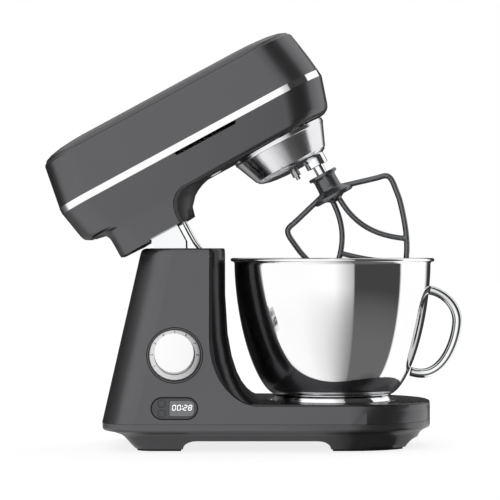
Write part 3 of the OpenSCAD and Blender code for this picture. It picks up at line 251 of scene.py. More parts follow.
def black_plastic():
    """Moulded black nylon with a fine spark-eroded grain."""
    return finish(
        "moulded_black_nylon", "#121213", 0.0, 0.5, tone=0.06, tone_mm=8, bump=(0.5, 0.008), Specular_IOR_Level=0.25
    )


def dark_plastic():
    """Satin polycarbonate surround of the display."""
    return finish("satin_polycarbonate", "#5b5c5e", 0.45, 0.42, tone=0.02, bump=(0.6, 0.003))


def zinc_steel():
    """Pressed steel with bright zinc plating, mottled."""
    return finish("zinc_plated_steel", "#a3a6a9", 0.9, 0.38, tone=0.12, tone_mm=9, bump=(0.8, 0.006))


def cast_aluminium():
    """Die-cast aluminium, as cast: matt with a fine skin."""
    return finish("die_cast_aluminium", "#a9abad", 0.85, 0.5, tone=0.08, tone_mm=14, bump=(0.9, 0.02))


def machined_steel():
    """Hobbed and turned steel with fine tool lines and a film of grease."""
    return finish("machined_steel", "#b3b4b6", 1.0, 0.27, tone=0.05, streaks=((1.0, 1.0, 0.1), 0.3, 0.1))


def copper_winding():
    """Enamelled copper wire, wound tight, as one mass with the turns as lines."""
    return finish("enamelled_copper_winding", "#a8602f", 0.8, 0.36, tone=0.12, streaks=((1.0, 1.0, 0.08), 0.7, 0.5))


def circuit_board():
    """Glass-epoxy board under green solder mask."""
    return finish("solder_mask_green", "#1f5a38", 0.0, 0.35, tone=0.2, tone_mm=6, bump=(1.2, 0.01), Coat_Weight=0.4)


def opal_lens():
    """Opal acrylic lens of the work light."""
    glow = {"Emission_Color": linear("#ffffff"), "Emission_Strength": 0.35}
    return finish("opal_acrylic", "#f6f6f2", 0.0, 0.25, tone=0.01, bump=(3.0, 0.002), **glow)


def polished_dial():
    """Turned aluminium bezel, polished and clear anodised."""
    return finish("anodised_turned_bezel", "#ebebec", 0.55, 0.32, tone=0.02, bump=(1.0, 0.002))


def screen_glass():
    """Clear lens over a grey segment display."""
    return finish("smoked_display_lens", "#9c9d9f", 0.0, 0.3, tone=0.03, tone_mm=20, bump=(4.0, 0.002))


def lit_segment():
    """Lit display segment, diffused by its lens."""
    glow = {"Emission_Color": linear("#ffffff"), "Emission_Strength": 0.9}
    return finish("lit_segment", "#ffffff", 0.0, 0.5, tone=0.01, bump=(2.0, 0.002), **glow)


def dark_print():
    """Pad-printed dark ink."""
    return finish("pad_printed_ink", "#3a3b3d", 0.0, 0.6, tone=0.08, tone_mm=3, bump=(0.4, 0.003))


# ---- making pieces ----
def smooth(mesh_object, degrees):
    """Smooth shading, with edges sharper than this kept sharp."""
    mesh = mesh_object.data
    mesh.shade_smooth()
    mesh.set_sharp_from_angle(angle=math.radians(degrees))


def piece(bm, name, body, material, place=None, sharp=30, replaces=(), recalc=True):
    """Puts a finished bmesh into the scene in the row frame, riding on its body."""
    if place is not None:
        bmesh.ops.transform(bm, matrix=place, verts=bm.verts)
    if recalc:
        bmesh.ops.recalc_face_normals(bm, faces=bm.faces)
    mesh = bpy.data.meshes.new(name)
    bm.to_mesh(mesh)
    bm.free()
    o = bpy.data.objects.new(name, mesh)
    bpy.context.scene.collection.objects.link(o)
    smooth(o, sharp)
    w = o.modifiers.new("normals", "WEIGHTED_NORMAL")
    w.keep_sharp = True
    mesh.materials.append(material)
    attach(o, body)
    if replaces:
        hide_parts(*replaces)
    return o


def copy_of(name):
    """The merged, tidied mesh of a CAD node, ready to finish."""
    bm = bmesh.new()
    bm.from_mesh(frame["nodes"][name].data)
    bmesh.ops.remove_doubles(bm, verts=bm.verts, dist=2e-6)
    bmesh.ops.dissolve_limit(bm, angle_limit=math.radians(0.3), verts=bm.verts, edges=bm.edges)
    return bm


def finish_copies(sharp, rows):
    """Makes pieces from copies of CAD nodes, from (node, piece, body, slot, material) rows."""
    for source, name, body, slot, material in rows:
        piece(copy_of(source), name, body, material, sharp=sharp, replaces=(source,), recalc=False)


def spun(profile, steps=96, closed=True):
    """A shape turned about Z from (radius, height) points that run from the axis out and back to it."""
    bm = bmesh.new()
    verts = [bm.verts.new((max(r, 0), 0, z)) for r, z in profile]
    edges = [bm.edges.new(pair) for pair in zip(verts, verts[1:])]
    if closed:
        edges.append(bm.edges.new((verts[-1], verts[0])))
    bmesh.ops.spin(
        bm, geom=verts + edges, cent=(0, 0, 0), axis=(0, 0, 1), angle=math.tau, steps=steps, use_merge=True
    )
    bmesh.ops.remove_doubles(bm, verts=bm.verts, dist=1e-5)
    bmesh.ops.dissolve_degenerate(bm, edges=bm.edges, dist=1e-6)
    return bm


def join(target, source):
    """Adds one bmesh to another."""
    mesh = bpy.data.meshes.new("joining")
    source.to_mesh(mesh)
    source.free()
    target.from_mesh(mesh)
    bpy.data.meshes.remove(mesh)


def block(size, at, rounding=0.0):
    """A box with rounded edges, in drawing units."""
    bm = bmesh.new()
    bmesh.ops.create_cube(bm, size=1, matrix=Matrix.Translation(at) @ Matrix.Diagonal((*size, 1)))
    if rounding:
        bmesh.ops.bevel(bm, geom=bm.edges, offset=rounding, segments=2, profile=0.5, affect="EDGES", material=-1)
    return bm


def bezier(a, b, c, d, steps):
    """Points of a cubic curve, both ends included."""
    curve = []
    for k in range(steps + 1):
        t = k / steps
        u = 1 - t
        along = zip(a, b, c, d)
        curve.append(tuple(u**3 * p + 3 * u**2 * t * q + 3 * u * t * t * r + t**3 * s for p, q, r, s in along))
    return curve


def rod(path, radius, flat=1.0):
    """A round bar along a smooth path in the XZ plane, widened across it by flat."""
    curve = bpy.data.curves.new("rod", "CURVE")
    curve.dimensions = "3D"
    curve.bevel_depth = 1.0
    curve.bevel_resolution = 6
    curve.use_fill_caps = True
    spline = curve.splines.new("POLY")
    spline.points.add(len(path) - 1)
    for i, (x, z) in enumerate(path):
        spline.points[i].co = (x, 0, z, 1)
        spline.points[i].radius = radius
    bm = meshed(curve)
    bmesh.ops.scale(bm, vec=(1, flat, 1), verts=bm.verts)
    return bm


def meshed(curve):
    """A curve or text as a bmesh, with its seams closed."""
    o = bpy.data.objects.new("drawing", curve)
    bpy.context.scene.collection.objects.link(o)
    mesh = bpy.data.meshes.new_from_object(o.evaluated_get(bpy.context.evaluated_depsgraph_get()))
    bpy.data.objects.remove(o)
    bpy.data.curves.remove(curve)
    bm = bmesh.new()
    bm.from_mesh(mesh)
    bpy.data.meshes.remove(mesh)
    bmesh.ops.remove_doubles(bm, verts=bm.verts, dist=1e-5)
    return bm


def cast(bm, voxel, passes):
    """Runs overlapping bars into one casting with soft fillets where they meet."""
    mesh = bpy.data.meshes.new("casting")
    bm.to_mesh(mesh)
    bm.free()
    o = bpy.data.objects.new("casting", mesh)
    bpy.context.scene.collection.objects.link(o)
    skin = o.modifiers.new("skin", "REMESH")
    skin.mode = "VOXEL"
    skin.voxel_size = voxel
    soft = o.modifiers.new("soft", "SMOOTH")
    soft.factor = 0.5
    soft.iterations = passes
    out = bpy.data.meshes.new_from_object(o.evaluated_get(bpy.context.evaluated_depsgraph_get()))
    bpy.data.objects.remove(o)
    bpy.data.meshes.remove(mesh)
    joined = bmesh.new()
    joined.from_mesh(out)
    bpy.data.meshes.remove(out)
    return joined


def plate(outline, thickness, rounding=0.0):
    """A flat plate from its outline in XY, with its top edges rounded, in drawing units."""
    bm = bmesh.new()
    face = bm.faces.new([bm.verts.new((x, y, 0)) for x, y in outline])
    lifted = bmesh.ops.extrude_face_region(bm, geom=[face])["geom"]
    top = [v for v in lifted if isinstance(v, bmesh.types.BMVert)]
    bmesh.ops.translate(bm, vec=(0, 0, thickness), verts=top)
    if rounding:
        edges = [e for e in bm.edges if all(v in top for v in e.verts)]
        bmesh.ops.bevel(bm, geom=edges, offset=rounding, segments=2, profile=0.5, affect="EDGES", material=-1)
    return bm


def rounded(width, height, radius, steps=6, cx=0.0, cy=0.0):
    """Outline of a rectangle with rounded corners."""
    points = []
    for qx, qy, start in ((1, 1, 0), (-1, 1, 90), (-1, -1, 180), (1, -1, 270)):
        for k in range(steps + 1):
            a = math.radians(start + 90 * k / steps)
            x = cx + qx * (width / 2 - radius) + radius * math.cos(a)
            y = cy + qy * (height / 2 - radius) + radius * math.sin(a)
            points.append((x, y))
    return points


def hoop(outer, inner, thickness):
    """A flat ring between two outlines with as many points as each other, in drawing units."""
    bm = bmesh.new()
    loops = [[bm.verts.new((x, y, 0)) for x, y in line] for line in (outer, inner)]
    edges = [bm.edges.new(pair) for loop in loops for pair in zip(loop, loop[1:] + loop[:1])]
    faces = bmesh.ops.bridge_loops(bm, edges=edges)["faces"]
    lifted = bmesh.ops.extrude_face_region(bm, geom=faces)["geom"]
    bmesh.ops.translate(bm, vec=(0, 0, thickness), verts=[v for v in lifted if isinstance(v, bmesh.types.BMVert)])
    return bm


def lettering(text, size, thickness, weight):
    """Flat characters with a little thickness, drawn bolder by weight, centred on the origin, in drawing units."""
    curve = bpy.data.curves.new("lettering", "FONT")
    curve.body = text
    curve.size = size
    curve.extrude = thickness / 2
    curve.offset = weight
    curve.align_x = "CENTER"
    curve.align_y = "CENTER"
    curve.resolution_u = 3
    return meshed(curve)


def level(node_name):
    """Lowest and highest corner of a CAD node of the head, levelled, in drawing millimetres."""
    back = HEAD.inverted()
    pts = [back @ v.co for v in frame["nodes"][node_name].data.vertices]
    return [min(p[i] for p in pts) for i in range(3)], [max(p[i] for p in pts) for i in range(3)]


def look():
    return bpy.context.scene.mixer_look


def sizes():
    return bpy.context.scene.mixer_sizes


# ---- what a user would change ----
class MixerLook(bpy.types.PropertyGroup):
    body_hex: StringProperty(name="Body colour", description="Lacquer of the castings, as sRGB hex", default="#646466")
    front_hex: StringProperty(
        name="Front colour", description="Lacquer of the front strip, as sRGB hex", default="#424244"
    )
    floor_grey: FloatProperty(name="Floor", description="Grey value of the floor", default=0.3, min=0, max=1)
    floor_glow: FloatProperty(
        name="Floor glow", description="Light that the paper floor sends straight to the eye", default=0.81, min=0
    )
    front_light: FloatProperty(
        name="Front light", description="Level of the studio light from the front", default=1.12, min=0
    )


class MixerSizes(bpy.types.PropertyGroup):
    rim_bead: FloatProperty(
        name="Rim bead", description="Radius of the bowl's rolled rim", default=2.0 * MM, unit="LENGTH"
    )
    bail_wire: FloatProperty(
        name="Bail wire", description="Radius of the tilt bail's wire", default=2.5 * MM, unit="LENGTH"
    )
    rod_radius: FloatProperty(
        name="Beater rod", description="Radius of the beater's rods", default=3.15 * MM, unit="LENGTH"
    )
    dial_numbers: IntProperty(
        name="Dial numbers", description="How many numbers stand round the dial", default=8, min=4, max=12
    )


class BuildHousings(bpy.types.Operator):
    """Finishes the lacquered shells, the trim strip and the feet"""

    bl_idname = "mixer.housings"
    bl_label = "Housings"

    def execute(self, context):
        finish_copies(SOFT_SHELL, [
            ("base_housing", "column_casting", "stand", "body_grey", painted_casting()),
            ("front_panel", "front_strip", "stand", "front_grey", painted_front()),
            ("base_cover", "base_skirt", "stand", "skirt_grey", painted_casting()),
            ("head_lower_housing", "head_casting", "head", "body_grey", painted_casting()),
            ("underside_panel", "head_underside", "head", "front_grey", painted_underside()),
            ("head_top_cover", "head_cover", "head", "body_grey", painted_casting()),
            ("top_panel", "head_crown", "head", "body_grey", painted_casting()),
        ])
        finish_copies(FLAT_PART, [
            ("trim_band", "trim_strip", "head", "trim_steel", polished_trim()),
            ("foot_pads", "feet", "stand", "rubber_black", rubber()),
        ])
        return {"FINISHED"}


def bowl_wall(inset, steps=44):
    """(radius, height) down the bowl's wall from its top to the edge of the flat bottom, in drawing units."""
    top, low = BOWL["wall_top"], BOWL["bottom"] + inset
    floor_r = BOWL["floor_r"] - inset / 2
    points = []
    for k in range(steps, -1, -1):
        t = math.pi / 2 * k / steps
        r = floor_r + (BOWL["wall_r"] - BOWL["floor_r"] - inset / 2) * math.sin(t) ** WALL_R_POWER
        points.append((r, top - (top - low) * math.cos(t) ** WALL_Z_POWER))
    return points


class BuildBowl(bpy.types.Operator):
    """Turns the bowl with its rolled rim and its foot, and bends its handle"""

    bl_idname = "mixer.bowl"
    bl_label = "Bowl"

    def execute(self, context):
        bead = sizes().rim_bead / MM
        rim_r, rim_z, sheet = BOWL["rim_r"], BOWL["rim_z"], BOWL["sheet"]
        cx, cz = rim_r - bead, rim_z - bead
        turns = [math.radians(degrees) for degrees in range(-90, 181, 18)]
        roll = [(cx + bead * math.cos(a), cz + bead * math.sin(a)) for a in turns]
        profile = [(0, BOWL["bottom"])] + bowl_wall(0)[::-1]
        profile += [(BOWL["wall_r"] + 0.7, BOWL["wall_top"] + 0.9), (cx - 1.2, cz - bead)] + roll
        profile += [(cx - bead, cz - 0.9), (BOWL["wall_r"] - 0.4, BOWL["wall_top"] + 1.6)] + bowl_wall(sheet)
        profile += [(0, BOWL["bottom"] + sheet)]
        shell = spun(profile, 160, closed=False)
        piece(shell, "bowl_shell", "bowl", polished_bowl(), STAND, sharp=55, replaces=("bowl",))
        finish_copies(FLAT_PART, [
            ("bowl_foot", "bowl_base_ring", "bowl", "bowl_steel", polished_bowl()),
            ("bowl_seat", "bowl_seat_plate", "stand", "seat_steel", brushed_hub()),
        ])
        out, top, mid, low = HANDLE["out"], HANDLE["top"], HANDLE["mid"], HANDLE["low"]
        grip = bezier((107.0, top), (out - 17, top - 1.8), (out - 0.9, top - 14.3), (out, mid), 20)
        grip += bezier((out, mid), (out, mid - 19.5), (out - 12.4, low + 2.6), (out - 36.5, low), 24)[1:]
        grip += bezier(grip[-1], (out - 42, low - 0.3), (92, low + 0.2), (86.5, low + 1.8), 6)[1:]
        loop = rod(grip, HANDLE["thick"] / 2)
        # the round bar's two halves are drawn apart into a strap with round edges
        for v in loop.verts:
            if abs(v.co.y) > 0.1:
                v.co.y += math.copysign((HANDLE["wide"] - HANDLE["thick"]) / 2, v.co.y)
        piece(loop, "handle_grip", "bowl", bright_chrome(), STAND, sharp=60, replaces=("bowl_handle",))
        return {"FINISHED"}


class BuildBeater(bpy.types.Operator):
    """Casts the flat beater: a frame of bars, run together, under a turned hub"""

    bl_idname = "mixer.beater"
    bl_label = "Beater"

    def execute(self, context):
        w, top, tip, deep = BEATER["half_w"], BEATER["top"], BEATER["tip"], BEATER["deep"]
        shoulder = top - 34.5
        bend = shoulder - 13
        corner = ((w - 13, shoulder + 1.4), (w - 3.4, shoulder + 0.1), (w - 0.7, shoulder - 1.7), (w - 1.7, bend))
        flank = ((w - 3.9, shoulder - 30), (w - 8.9, shoulder - 50.5), (w - 16.4, shoulder - 74), (w - 27.5, tip + 4.6))
        foot = ((w - 29.6, tip + 1.4), (w - 34, tip), (12, tip), (0, tip))
        side = [(10, top - 21.5)] + bezier(*corner, 12) + bezier(*flank, 16) + bezier(*foot, 8)
        loop = side + [(-x, z) for x, z in side[-2::-1]]
        wing = bezier((4, top - 30), (4, top - 62), (16, top - 86), (w - 18.4, top - 106.5), 18)
        tail = bezier((-24, top - 86), (-12, top - 97), (4, top - 112), (w - 38, tip + 4), 14)
        # each bar's path, its share of the rods' radius, and half its depth
        bars = [
            (loop, 1.0, deep),
            (wing, 0.97, deep - 0.3),
            ([(-x, z) for x, z in wing], 0.97, deep - 0.3),
            (tail, 0.95, deep - 0.5),
        ]
        radius = sizes().rod_radius / MM
        bm = bmesh.new()
        for path, share, half_depth in bars:
            join(bm, rod(path, radius * share, half_depth / (radius * share)))
        # small caps where the bars stand on the hub's disc
        for sign in (-1, 1):
            join(bm, rod([(sign * 9, top - 31), (sign * 6, top - 25)], 4.6, 1.2))
        bm = cast(bm, CASTING_CELL, CASTING_PASSES)
        here = HEAD @ Matrix.Translation((BEATER["axis"], 0, 0))
        piece(bm, "beater_frame", "beater", beater_coating(), here, sharp=70, replaces=("flat_beater",))
        bore = BEATER_BORE_R
        hub = [(bore, 0), (15.6, 0), (16.2, -0.3), (16.4, -0.9), (16.4, -3.0), (16.1, -3.5), (14.0, -3.9), (13.1, -4.8),
               (12.7, -6.5), (13.0, -17.8), (13.6, -19.2), (14.6, -20.2), (20.4, -24.0), (22.6, -25.2), (23.0, -25.8),
               (23.0, -28.2), (22.7, -28.8), (20.4, -29.9), (12.0, -30.0), (9.4, -30.4), (8.2, -31.4), (6.0, -33.9),
               (4.4, -34.4), (0, -34.4), (0, -24.6), (bore - 0.4, -24.6), (bore, -24.2)]
        hub = [(r, top + z) for r, z in hub]
        piece(spun(hub, 72), "beater_hub", "beater", beater_coating(), here, sharp=34)
        # the two short keys in which the cross pin turns
        for sign in (-1, 1):
            key = block((4.2, 3.6, 12.0), (0, sign * 13.2, top - 9.5), 0.8)
            name = "beater_key_near" if sign < 0 else "beater_key_far"
            piece(key, name, "beater", beater_coating(), here, sharp=40)
        return {"FINISHED"}


class BuildDrive(bpy.types.Operator):
    """Finishes the planetary hub, its collar and the shafts"""

    bl_idname = "mixer.drive"
    bl_label = "Drive"

    def execute(self, context):
        finish_copies(TURNED_PART, [
            ("planet_hub", "planet_cone", "planetary", "hub_steel", brushed_hub()),
            ("main_shaft", "centre_shaft", "planetary", "gear_steel", machined_steel()),
            ("shaft_collar", "collar", "planetary", "bright_steel", bright_chrome()),
            ("tool_shaft", "beater_shaft", "tool", "bright_steel", bright_chrome()),
        ])
        return {"FINISHED"}


class BuildHeadTrim(bpy.types.Operator):
    """Bends the bail and finishes the hinge, the lamp and the nose cover"""

    bl_idname = "mixer.head_trim"
    bl_label = "Head trim"

    def execute(self, context):
        wire = sizes().bail_wire / MM
        low, high = level("tilt_bail")
        half = (high[1] - low[1]) / 2 - wire
        x_top, x_foot = low[0] + wire, high[0] - wire
        z_foot, z_knee = low[2] + wire, high[2] - 20
        leg = bezier((x_foot, z_foot), (x_foot - 2, z_foot + 16), (x_top, z_knee - 14), (x_top, z_knee + 2), 14)
        leg.append((x_top, high[2]))
        bm = bmesh.new()
        for sign in (-1, 1):
            one = rod(leg, wire)
            bmesh.ops.translate(one, vec=(0, sign * half, 0), verts=one.verts)
            join(bm, one)
        cross = rod([(-half, 0), (half, 0)], wire)
        bmesh.ops.rotate(cross, cent=(0, 0, 0), matrix=Matrix.Rotation(math.pi / 2, 3, "Z"), verts=cross.verts)
        bmesh.ops.translate(cross, vec=(x_foot, 0, z_foot), verts=cross.verts)
        join(bm, cross)
        piece(bm, "bail", "head", bright_chrome(), HEAD, sharp=50, replaces=("tilt_bail",))
        finish_copies(TURNED_PART, [
            ("hinge_arms", "arms", "head", "bright_steel", bright_chrome()),
            ("hinge_pin", "pin", "stand", "bright_steel", bright_chrome()),
            ("work_light", "lamp_lens", "head", "lens", opal_lens()),
            ("hub_cover", "nose_cover", "hub_cap", "body_grey", painted_casting()),
        ])
        return {"FINISHED"}


SEGMENTS = {
    "0": "abcdef",
    "1": "bc",
    "2": "abged",
    "3": "abgcd",
    "4": "fgbc",
    "5": "afgcd",
    "6": "afgedc",
    "7": "abc",
    "8": "abcdefg",
    "9": "abcdfg",
}


def digit(symbol, width, height, bar, lean):
    """One seven-segment digit, leaning forward, in drawing units."""
    half = height / 2
    reach, gap = bar / 2, 0.12
    bm = bmesh.new()
    side = width / 2
    spots = {
        "a": (0, half, 0),
        "b": (side, half / 2, 1),
        "c": (side, -half / 2, 1),
        "d": (0, -half, 0),
        "e": (-side, -half / 2, 1),
        "f": (-side, half / 2, 1),
        "g": (0, 0, 0),
    }
    for key in SEGMENTS[symbol]:
        x, y, upright = spots[key]
        long = (half if upright else width) / 2 - gap
        tip = long - reach
        line = [(-long, 0), (-tip, reach), (tip, reach), (long, 0), (tip, -reach), (-tip, -reach)]
        if upright:
            line = [(-b, a) for a, b in line]
        join(bm, plate([(x + a, y + b) for a, b in line], 0.12))
    for v in bm.verts:
        v.co.x += v.co.y * lean
    return bm


class BuildKnob(bpy.types.Operator):
    """Turns the speed knob and the dial round it, and prints its numbers"""

    bl_idname = "mixer.knob"
    bl_label = "Knob"

    def execute(self, context):
        wall = on_wall(KNOB_AT)
        knob = [(0, 2), (19.4, 2), (20.6, 2.4), (21, 3.2), (21, 5.6), (20.7, 5.8), (20.7, 6.6), (21, 6.8), (21, 18.3),
                (20.9, 18.7), (20.5, 18.95), (0, 19.0)]
        cap = spun(knob, 120, closed=False)
        piece(cap, "knob_cap", "knob", spun_aluminium(), wall, sharp=38, replaces=("speed_knob",))
        stem = spun([(0, -10), (2.6, -10), (3, -9.6), (3, 2.2), (0, 2.2)], 32, closed=False)
        piece(stem, "knob_stem", "knob", machined_steel(), wall, sharp=38)
        face_outer, face_inner = (25.6, 3.95), (22.6, 4.3)
        dial = [(21.5, -1.6), (27, -1.6), (27, 2.2), (26.8, 3.0), (26.3, 3.6), face_outer, face_inner, (21.9, 4.4),
                (21.5, 4.2)]
        piece(spun(dial, 120), "dial", "stand", polished_dial(), wall, sharp=38, replaces=("dial_ring",))
        # two black rings in the groove round the dial: painted shade for the groove's dark edges
        groove_shade_rings = bmesh.new()
        for inner, outer in DIAL_SHADE_RINGS:
            ring = [(inner, -0.6), (outer, -0.6), (outer, 0.1)]
            ring += [(outer - 0.15, 0.25), (inner + 0.15, 0.25), (inner, 0.1)]
            join(groove_shade_rings, spun(ring, 96))
        piece(groove_shade_rings, "dial_groove_shade", "stand", black_plastic(), wall, sharp=40)
        inner, outer = DIAL_STEP
        step = spun([(inner, -0.6), (outer, -0.6), (outer, 0.15), (inner, 0.15)], 96)
        piece(step, "dial_step", "stand", painted_casting(), wall, sharp=40)
        # the numbers lie on the dial's sloping face
        slope = math.atan2(face_inner[1] - face_outer[1], face_outer[0] - face_inner[0])
        bm = bmesh.new()
        for k in range(sizes().dial_numbers):
            a = math.radians(FIRST_NUMBER - NUMBER_STEP * k)
            number = lettering(str(k + 1), NUMBER_SIZE, 0.16, 0.03)
            place = (
                Matrix.Rotation(a - math.pi / 2, 4, "Z")
                @ Matrix.Translation((0, NUMBER_R, NUMBER_Z))
                @ Matrix.Rotation(-slope, 4, "X")
            )
            bmesh.ops.transform(number, matrix=place, verts=number.verts)
            join(bm, number)
        piece(bm, "dial_numbers", "stand", dark_print(), wall, sharp=40)
        return {"FINISHED"}


class BuildDisplay(bpy.types.Operator):
    """Sets the timer display and its keys, and finishes the small moulded parts of the stand and head"""

    bl_idname = "mixer.display"
    bl_label = "Display"

    def execute(self, context):
        drop = (DISPLAY_Z - KNOB_Z) * MM
        middle = Vector((KNOB_AT.x, KNOB_AT.y + math.tan(WALL_LEAN) * drop, KNOB_AT.z + drop))
        wall = on_wall(middle)
        finish_copies(TURNED_PART, [
            ("display_bezel", "display_surround", "stand", "plastic_dark", dark_plastic()),
            ("timer_button", "key_up", "timer_key", "button_dark", dark_plastic()),
            ("reset_button", "key_down", "reset_key", "button_dark", dark_plastic()),
            ("release_button", "release_cap", "release", "plastic_black", black_plastic()),
            ("cord_gland", "gland", "stand", "rubber_black", rubber()),
            ("rest_buffers", "buffers", "head", "rubber_black", rubber()),
        ])
        backing = plate(rounded(SCREEN_W, SCREEN_H, 0.4, steps=2, cx=SCREEN_X), 3.7)
        bmesh.ops.translate(backing, vec=(0, 0, -4.0), verts=backing.verts)
        piece(backing, "screen_backing", "stand", dark_plastic(), wall, sharp=40)
        # the screen's corners are tight at the left and wide at the right, where they follow the surround
        edge = [p for p in rounded(SCREEN_W, SCREEN_H, 1.8, cx=SCREEN_X) if p[0] < SCREEN_X]
        edge += [p for p in rounded(SCREEN_W, SCREEN_H, 5.8, cx=SCREEN_X) if p[0] > SCREEN_X]
        edge.sort(key=lambda p: math.atan2(p[1], p[0] - SCREEN_X))
        lens = plate(edge, 0.2, 0.06)
        bmesh.ops.translate(lens, vec=(0, 0, -0.3), verts=lens.verts)
        piece(lens, "screen", "stand", screen_glass(), wall, sharp=40, replaces=("display_window",))
        # black rims round the surround and round each key: painted shade for the dark gaps there
        shade_rims = hoop(rounded(50.4, 24.4, 12.2), rounded(47.8, 21.8, 10.9), 0.5)
        for y in KEY_YS:
            join(shade_rims, hoop(rounded(7.7, 7.7, 1.7, cx=KEY_X, cy=y), rounded(6.6, 6.6, 1.2, cx=KEY_X, cy=y), 0.5))
        bmesh.ops.translate(shade_rims, vec=(0, 0, -0.4), verts=shade_rims.verts)
        piece(shade_rims, "display_gap_shade", "stand", black_plastic(), wall, sharp=40)
        bm = bmesh.new()
        x = DIGITS_X
        for k, symbol in enumerate("00:28"):
            if symbol == ":":
                for y in (-1.5, 1.5):
                    corners = ((-0.5, -0.5), (0.5, -0.5), (0.5, 0.5), (-0.5, 0.5))
                    join(bm, plate([(x + dx - 0.2 + y * DIGIT_LEAN, y + dy) for dx, dy in corners], 0.12))
                x += DIGIT_PITCH * 0.55
                continue
            one = digit(symbol, DIGIT_W, DIGIT_H, DIGIT_BAR, DIGIT_LEAN)
            bmesh.ops.translate(one, vec=(x, 0, 0), verts=one.verts)
            join(bm, one)
            # the digit before the colon stands closer to it
            x += DIGIT_PITCH * 0.72 if k == 1 else DIGIT_PITCH
        bmesh.ops.translate(bm, vec=(0, DIGITS_Y, -0.11), verts=bm.verts)
        piece(bm, "timer_digits", "stand", lit_segment(), wall, sharp=40)
        return {"FINISHED"}


class FinishInside(bpy.types.Operator):
    """Gives the working parts inside their finishes"""

    bl_idname = "mixer.inside"
    bl_label = "Inside"

    def execute(self, context):
        finishes = {
            "column_frame": zinc_steel, "speed_encoder": black_plastic, "control_board": circuit_board,
            "power_board": circuit_board, "latch_slider": zinc_steel, "head_chassis": cast_aluminium,
            "gear_case": cast_aluminium, "ring_gear": machined_steel, "shaft_bearings": machined_steel,
            "motor_body": zinc_steel, "drive_belt": rubber, "hub_socket": cast_aluminium,
            "chassis_screws": zinc_steel, "motor_rotor": copper_winding, "driven_pulley": black_plastic,
            "tool_pinion": machined_steel,
        }
        for name, material in finishes.items():
            slots = frame["nodes"][name].data.materials
            slots.clear()
            slots.append(material())
        return {"FINISHED"}


def reading(tree, operation, a, b=0.0):
    """The result of one sum on two numbers or sockets."""
    return node(tree, "Math", {"operation": operation}, _0=a, _1=b).outputs[0]


# The studio round the object, in degrees from the front towards +X: the left panel's edge close to the horizon and
# higher up, how soft that edge is, the dark board, the right panel, and where the back begins
PANEL_EDGE, HIGH_PANEL_EDGE, EDGE_SOFTNESS = -98, -68, 7
DARK_BOARD = (23.4, 83.5)
RIGHT_PANEL = (85, 136)
BACK_FROM = 146
# How the left panel fades towards the board, as (degrees, share of the front light)
SHORT_FADE = ((0, 1.0), (9.4, 0.77), (16.4, 0.6), (22.4, 0.46))
LONG_FADE = ((-40, 0.95), (-16, 0.78), (-6, 0.66), (3, 0.52), (13, 0.36), (22, 0.24))
# Brightness of what is dark in the studio, and of the ceiling behind the object
DARK, CEILING = 0.04, 0.85


def studio(tree, turn, left, band, behind_left, behind_right, fade):
    """Brightness of the studio round the object, by the angle from the front towards +X: a wide soft panel from the
    left to the front that fades towards a dark board, a second panel at the right, and whatever is behind."""
    share = node(tree, "MapRange", Value=turn, **{"From Min": -math.pi, "From Max": math.pi}).outputs["Result"]
    front = look().front_light
    stops = [(-180, behind_left), (left - EDGE_SOFTNESS, behind_left), (left + EDGE_SOFTNESS, front)]
    stops += [(degrees, level_there * front) for degrees, level_there in fade]
    stops += [(degrees, band) for degrees in DARK_BOARD] + [(degrees, front) for degrees in RIGHT_PANEL]
    stops += [(BACK_FROM, behind_right), (180, behind_right)]
    return ramp(tree, share, [(degrees / 360 + 0.5, (there,)) for degrees, there in stops])


def between(tree, share, first, second):
    """Goes from the first colour to the second as the share goes from 0 to 1."""
    return node(tree, "Mix", {"data_type": "RGBA"}, _0=share, _6=first, _7=second).outputs[2]


def product(tree, first, second):
    """One colour multiplied by another."""
    return node(tree, "Mix", {"data_type": "RGBA", "blend_type": "MULTIPLY"}, _0=1.0, _6=first, _7=second).outputs[2]


# The floor, from the foot of the base in metres: where its reflection passes from the near look to the far one, where
# the painted contact shadow in its reflection ends (as tenths of a metre), how far inside the base's box the distance
# is counted from, and half the floor's side
NEAR_TO_FAR = ((0.08, (0.0,)), (0.95, (1.0,)))
PAINTED_CONTACT_SHADOW = ((0.15, (0.5,)), (0.5, (1.0,)))
PAINTED_SHADOW_SCALE = 10.0
FOOT_INSET = 0.02
FLOOR_HALF = 12
# The point that the floor's angles are measured from: a little off the bowl's axis, towards the front
TURN_CENTRE = (BOWL_X + 0.006, -0.051)


